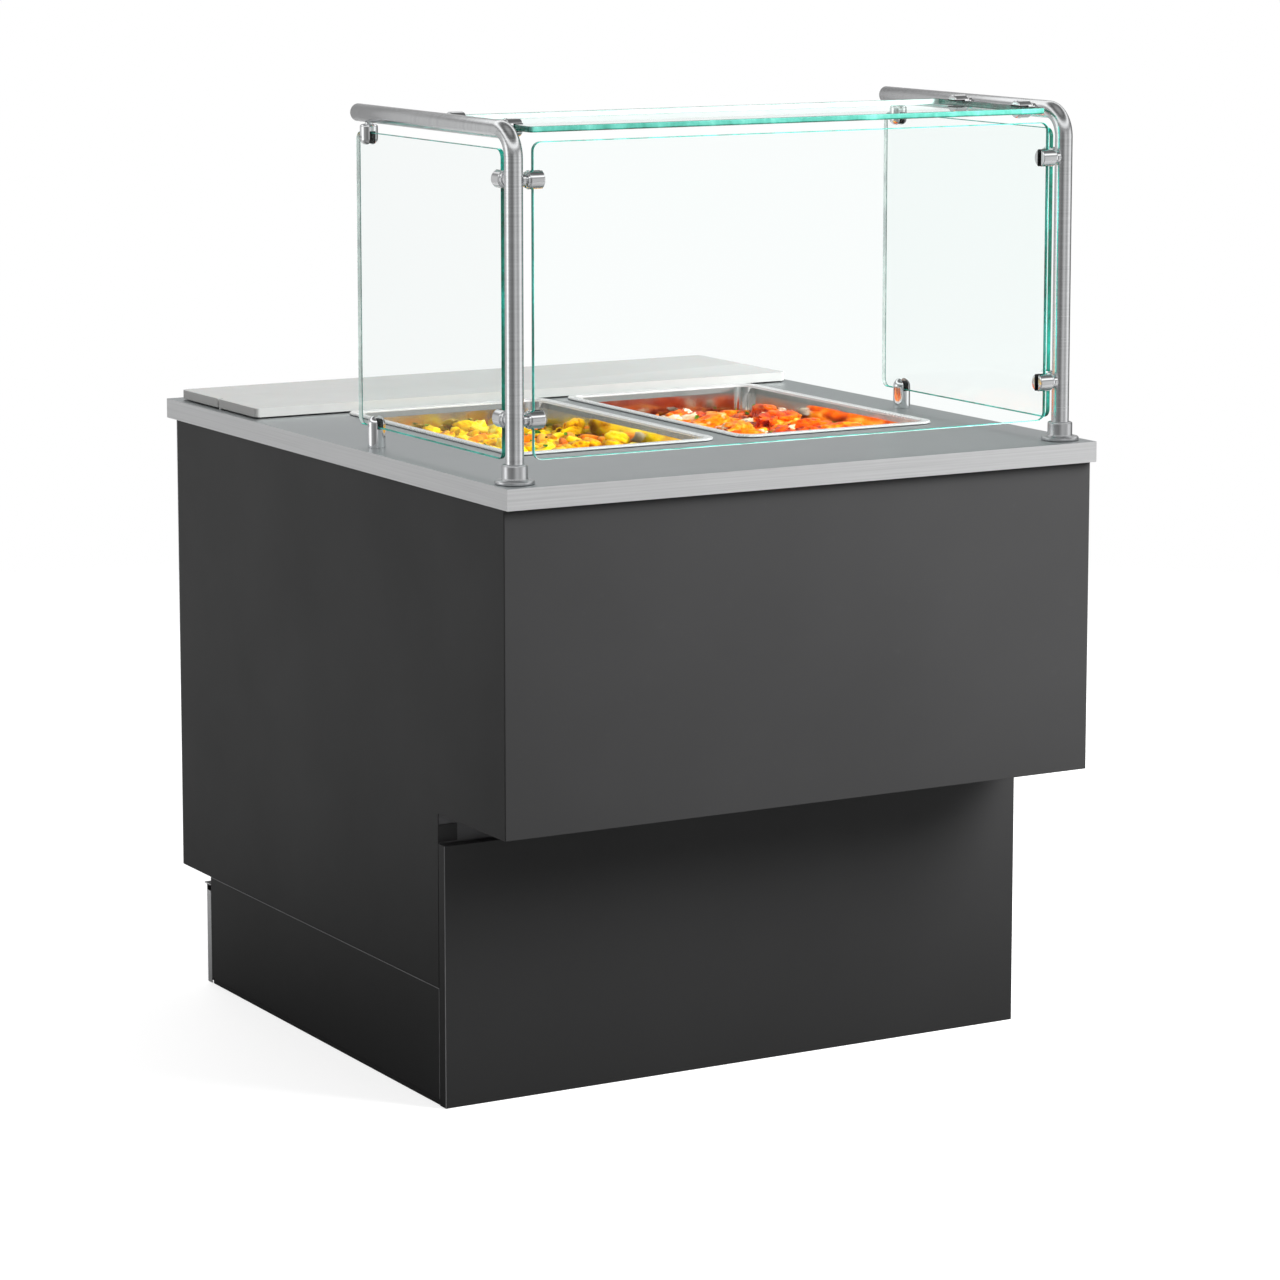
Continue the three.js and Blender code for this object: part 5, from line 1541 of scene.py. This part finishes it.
def fill_right():
    rnd = random.Random(77)
    cx, hx, hy = PAN_X[1], 143.0, 240.0
    level = lambda x, y: 812.0 + 5.0 * math.cos((x - cx + 20) / hx * 1.4) - 5.0 * max(0.0, (y - PAN_Y) / hy)
    heap = Heap(cx, hx, hy, level)
    kinds = {k: new_food() for k in ("chicken", "cream", "herb", "pepper")}
    spots = []
    nx, ny = 4, 11
    for i in range(nx):
        for j in range(ny):
            spots.append((cx - hx + (i + 0.5 + rnd.uniform(-0.3, 0.3)) * 2 * hx / nx, PAN_Y - hy + (j + 0.5 + rnd.uniform(-0.3, 0.3)) * 2 * hy / ny))
    rnd.shuffle(spots)
    spots += [(cx + rnd.uniform(-0.8, 0.7) * hx, PAN_Y + rnd.uniform(-0.95, 0.6) * hy) for _ in range(20)]
    for n, (x, y) in enumerate(spots):
        a, b, t = rnd.uniform(30, 44), rnd.uniform(14, 19), rnd.uniform(10.5, 13.5)
        yaw = rnd.gauss(0.35, 0.55)
        ex = abs(a * math.cos(yaw)) + abs(b * math.sin(yaw)) + 2
        ey = abs(a * math.sin(yaw)) + abs(b * math.cos(yaw)) + 2
        x = max(cx - hx + ex, min(cx + hx - ex, x))
        y = max(PAN_Y - hy + ey, min(PAN_Y + hy - ey, y))
        z = heap.drop(x, y, a, b, t, yaw, 0.5)
        if z is None:
            continue
        z = min(z, 836.0)
        bm, tone = kinds["chicken"]
        add_blob(bm, tone, P(x, y, z), (a, b, t), euler(rnd.uniform(-0.25, 0.25), rnd.uniform(-0.12, 0.12), yaw), n + 3, rnd.uniform(0.72, 0.95), 0.34, 1.7, 0.10, 4, rnd.uniform(0.30, 0.80), rnd.uniform(-0.1, 0.25))
    for n in range(26):
        a, b, t = rnd.uniform(9, 19), rnd.uniform(6, 11), rnd.uniform(3.5, 6)
        x, y = inside(cx, hx, hy, cx + rnd.uniform(-hx, hx), PAN_Y + rnd.uniform(-hy, hy), 15)
        yaw = rnd.uniform(0, math.pi)
        z = heap.drop(x, y, a, b, t, yaw, 0.75)
        if z is None:
            continue
        bm, tone = kinds["cream"]
        add_blob(bm, tone, P(x, y, min(z, 840.0)), (a, b, t), euler(rnd.uniform(-0.4, 0.4), rnd.uniform(-0.4, 0.4), yaw), n + 90, 0.75, 0.42, 2.1, 0.10, 3, rnd.uniform(0.25, 0.9))
    for n in range(60):
        size = rnd.uniform(4, 9)
        x, y = inside(cx, hx, hy, cx + rnd.uniform(-hx, hx), PAN_Y + rnd.uniform(-hy, hy), 9)
        z = heap.drop(x, y, size * 0.4, size * 0.3, 0.6, 0.0, -0.2)
        if z is not None:
            bm, tone = kinds["herb"]
            add_leaf(bm, tone, P(x, y, min(z + 0.6, 845)), euler(rnd.uniform(-0.7, 0.7), rnd.uniform(-0.7, 0.7), rnd.uniform(0, 6.28)), size, n, rnd.uniform(0.4, 1.0))
    for n in range(34):
        a, b, t = rnd.uniform(5, 9), rnd.uniform(3.5, 6), 3.2
        x, y = inside(cx, hx, hy, cx + rnd.uniform(-hx, hx), PAN_Y + rnd.uniform(-hy, hy), 12)
        yaw = rnd.uniform(0, math.pi)
        z = heap.drop(x, y, a, b, t, yaw, 0.6)
        if z is not None:
            bm, tone = kinds["pepper"]
            add_blob(bm, tone, P(x, y, min(z, 841.0)), (a, b, t), euler(0, rnd.uniform(-0.3, 0.3), yaw), n + 170, 0.6, 0.2, 1.5, 0.04, 2, rnd.uniform(0.3, 0.9), 0.2)
    make_bed("right", cx, lambda x, y: level(x, y) + 1.0, BED_R)
    for kind, mat in (("chicken", CHICKEN), ("cream", CREAM), ("herb", HERB), ("pepper", CARROT)):
        food_object(f"food_right_{kind}", kinds[kind][0], mat, "right_pan")


fill_left()
fill_right()

# ------------------------------------------------------------------ studio
FLOOR_R = 4.2
floor_me = bpy.data.meshes.new("studio_floor")
floor_bm = bmesh.new()
bmesh.ops.create_circle(floor_bm, cap_ends=True, segments=96, radius=FLOOR_R)
floor_bm.to_mesh(floor_me)
floor_bm.free()
floor = bpy.data.objects.new("studio_floor", floor_me)
floor.location = (0, 0, LO.z - 0.0004)
COLL.objects.link(floor)
# Pale floor that runs out into the white of the room at its rim. It is dimmer in what it throws back at the object.
fm = Mat("studio_floor_paint")
fm.set(
    Base_Color=fm.ramp(fm.noise(0.8, 3, 0.5), [(0.3, (0.50, 0.50, 0.50)), (0.7, (0.52, 0.52, 0.52))]),
    Roughness=0.9,
    Specular_IOR_Level=0.1,
    Emission_Color=(1, 1, 1),
    Emission_Strength=0.72,
)
flp = fm.node("ShaderNodeLightPath")
fdim = fm.node("ShaderNodeBsdfDiffuse")
fyz = fm.node("ShaderNodeSeparateXYZ")
fm.link(fm.obj, fyz.inputs[0])
fm.link(fm.ramp(fm.span(fyz.outputs["Y"], 0.0, 1.0, 0.2, 1.3), [(0.0, (0.20, 0.20, 0.20)), (1.0, (0.66, 0.66, 0.66))]), fdim.inputs["Color"])
fmix = fm.node("ShaderNodeMixShader")
fm.link(flp.outputs["Is Camera Ray"], fmix.inputs[0])
fm.link(fdim.outputs[0], fmix.inputs[1])
fm.link(fm.bsdf.outputs[0], fmix.inputs[2])
fopen = fm.node("ShaderNodeBsdfTransparent")
fdist = fm.node("ShaderNodeVectorMath", operation="LENGTH")
fm.link(fm.obj, fdist.inputs[0])
frim = fm.node("ShaderNodeMixShader")
fm.link(fm.span(fdist.outputs["Value"], 0.0, 1.0, 2.4, FLOOR_R - 0.1), frim.inputs[0])
fm.link(fmix.outputs[0], frim.inputs[1])
fm.link(fopen.outputs[0], frim.inputs[2])
fm.link(frim.outputs[0], fm.out.inputs["Surface"])
floor_me.materials.append(fm.m)
floor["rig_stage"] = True

world = bpy.data.worlds.new("studio")
bpy.context.scene.world = world
world.use_nodes = True
wn = world.node_tree
for n in list(wn.nodes):
    wn.nodes.remove(n)
wout = wn.nodes.new("ShaderNodeOutputWorld")
wcoord = wn.nodes.new("ShaderNodeTexCoord")
wsep = wn.nodes.new("ShaderNodeSeparateXYZ")
wn.links.new(wcoord.outputs["Generated"], wsep.inputs[0])


def wmath(op, a, b=0.0):
    n = wn.nodes.new("ShaderNodeMath")
    n.operation = op
    for i, v in enumerate((a, b)):
        if isinstance(v, (int, float)):
            n.inputs[i].default_value = v
        else:
            wn.links.new(v, n.inputs[i])
    return n.outputs[0]


# The room that the steel mirrors: tall soft panels and dark gaps between them round the horizon, an even ceiling.
wramp = wn.nodes.new("ShaderNodeValToRGB")
angle = wmath("ARCTAN2", wsep.outputs["X"], wmath("MULTIPLY", wsep.outputs["Y"], -1.0))  # 0 looks to -Y, positive to +X
turn = wmath("ADD", wmath("DIVIDE", angle, 2 * math.pi), 0.5)
wn.links.new(turn, wramp.inputs["Fac"])
cr = wramp.color_ramp
# turn, brightness / 2
stops = [
    (0.000, 0.24), (0.060, 0.27), (0.120, 0.30), (0.170, 0.80), (0.205, 0.80), (0.235, 0.20), (0.300, 0.13), (0.385, 0.08),
    (0.435, 0.22), (0.470, 0.36), (0.510, 0.30), (0.560, 0.20), (0.610, 0.34), (0.650, 0.62), (0.700, 0.50), (0.760, 0.08),
    (0.830, 0.05), (0.875, 0.22), (0.920, 0.28), (1.000, 0.24),
]
while len(cr.elements) < len(stops):
    cr.elements.new(0.5)
for e, (p, v) in zip(cr.elements, stops):
    e.position = p
    e.color = (v, v, v, 1)
zen = wn.nodes.new("ShaderNodeMapRange")
zen.inputs["From Min"].default_value, zen.inputs["From Max"].default_value = 0.16, 0.32
wn.links.new(wsep.outputs["Z"], zen.inputs["Value"])
sky = wn.nodes.new("ShaderNodeValToRGB")  # a soft bright frame overhead with a darker middle, brightness / 2
wn.links.new(wsep.outputs["Z"], sky.inputs["Fac"])
overhead = [(0.20, 0.20), (0.38, 0.14), (0.50, 0.62), (0.62, 0.64), (0.74, 0.12), (0.88, 0.06), (1.0, 0.22)]
while len(sky.color_ramp.elements) < len(overhead):
    sky.color_ramp.elements.new(0.5)
for e, (p, v) in zip(sky.color_ramp.elements, overhead):
    e.position = p
    e.color = (v, v, v, 1)
wmix = wn.nodes.new("ShaderNodeMix")
wmix.data_type = "RGBA"
wn.links.new(zen.outputs["Result"], wmix.inputs[0])
wn.links.new(wramp.outputs["Color"], wmix.inputs[6])
wn.links.new(sky.outputs["Color"], wmix.inputs[7])
room = wn.nodes.new("ShaderNodeBackground")
wn.links.new(wmix.outputs[2], room.inputs["Color"])
room.inputs["Strength"].default_value = 2.0
seen = wn.nodes.new("ShaderNodeBackground")
seen.inputs["Color"].default_value = (1, 1, 1, 1)
seen.inputs["Strength"].default_value = 1.0
lp = wn.nodes.new("ShaderNodeLightPath")
wsel = wn.nodes.new("ShaderNodeMixShader")
wn.links.new(lp.outputs["Is Camera Ray"], wsel.inputs[0])
wn.links.new(room.outputs[0], wsel.inputs[1])
wn.links.new(seen.outputs[0], wsel.inputs[2])
wn.links.new(wsel.outputs[0], wout.inputs["Surface"])


def area(name, at, target, size, power, gloss=False):
    l = bpy.data.lights.new(name, "AREA")
    l.shape = "RECTANGLE"
    l.size = l.size_y = size
    l.energy = power
    o = bpy.data.objects.new(name, l)
    o.location = at
    o.rotation_euler = (Vector(target) - Vector(at)).to_track_quat("-Z", "Y").to_euler()
    o.visible_glossy = gloss
    COLL.objects.link(o)
    return o


area("key_right", (1.75, -2.05, 2.2), (0.1, -0.3, 0.7), 1.7, 225)
area("top", (0.0, 0.2, 4.2), (0, 0, 0.8), 3.0, 15)
area("rear_fill", (0.8, 4.3, 2.5), (0, 0.4, 0.5), 2.6, 70)

cam_data = bpy.data.cameras.new("view")
cam = bpy.data.objects.new("view", cam_data)
COLL.objects.link(cam)
cam.location = (-3.04861, -5.40081, 1.66755)
cam.rotation_euler = (math.radians(90 - 8.24), 0, math.radians(-29.78))
cam_data.sensor_width = 36
cam_data.lens = 36 * 4397.8 / 1280
cam_data.shift_y = -0.125
cam_data.clip_start, cam_data.clip_end = 0.05, 200
cam_data.dof.use_dof = False
sc = bpy.context.scene
sc.camera = cam
sc.view_settings.view_transform = "Standard"
sc.view_settings.look = "None"
sc.cycles.transparent_max_bounces = 24
sc.cycles.max_bounces = 8

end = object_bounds()
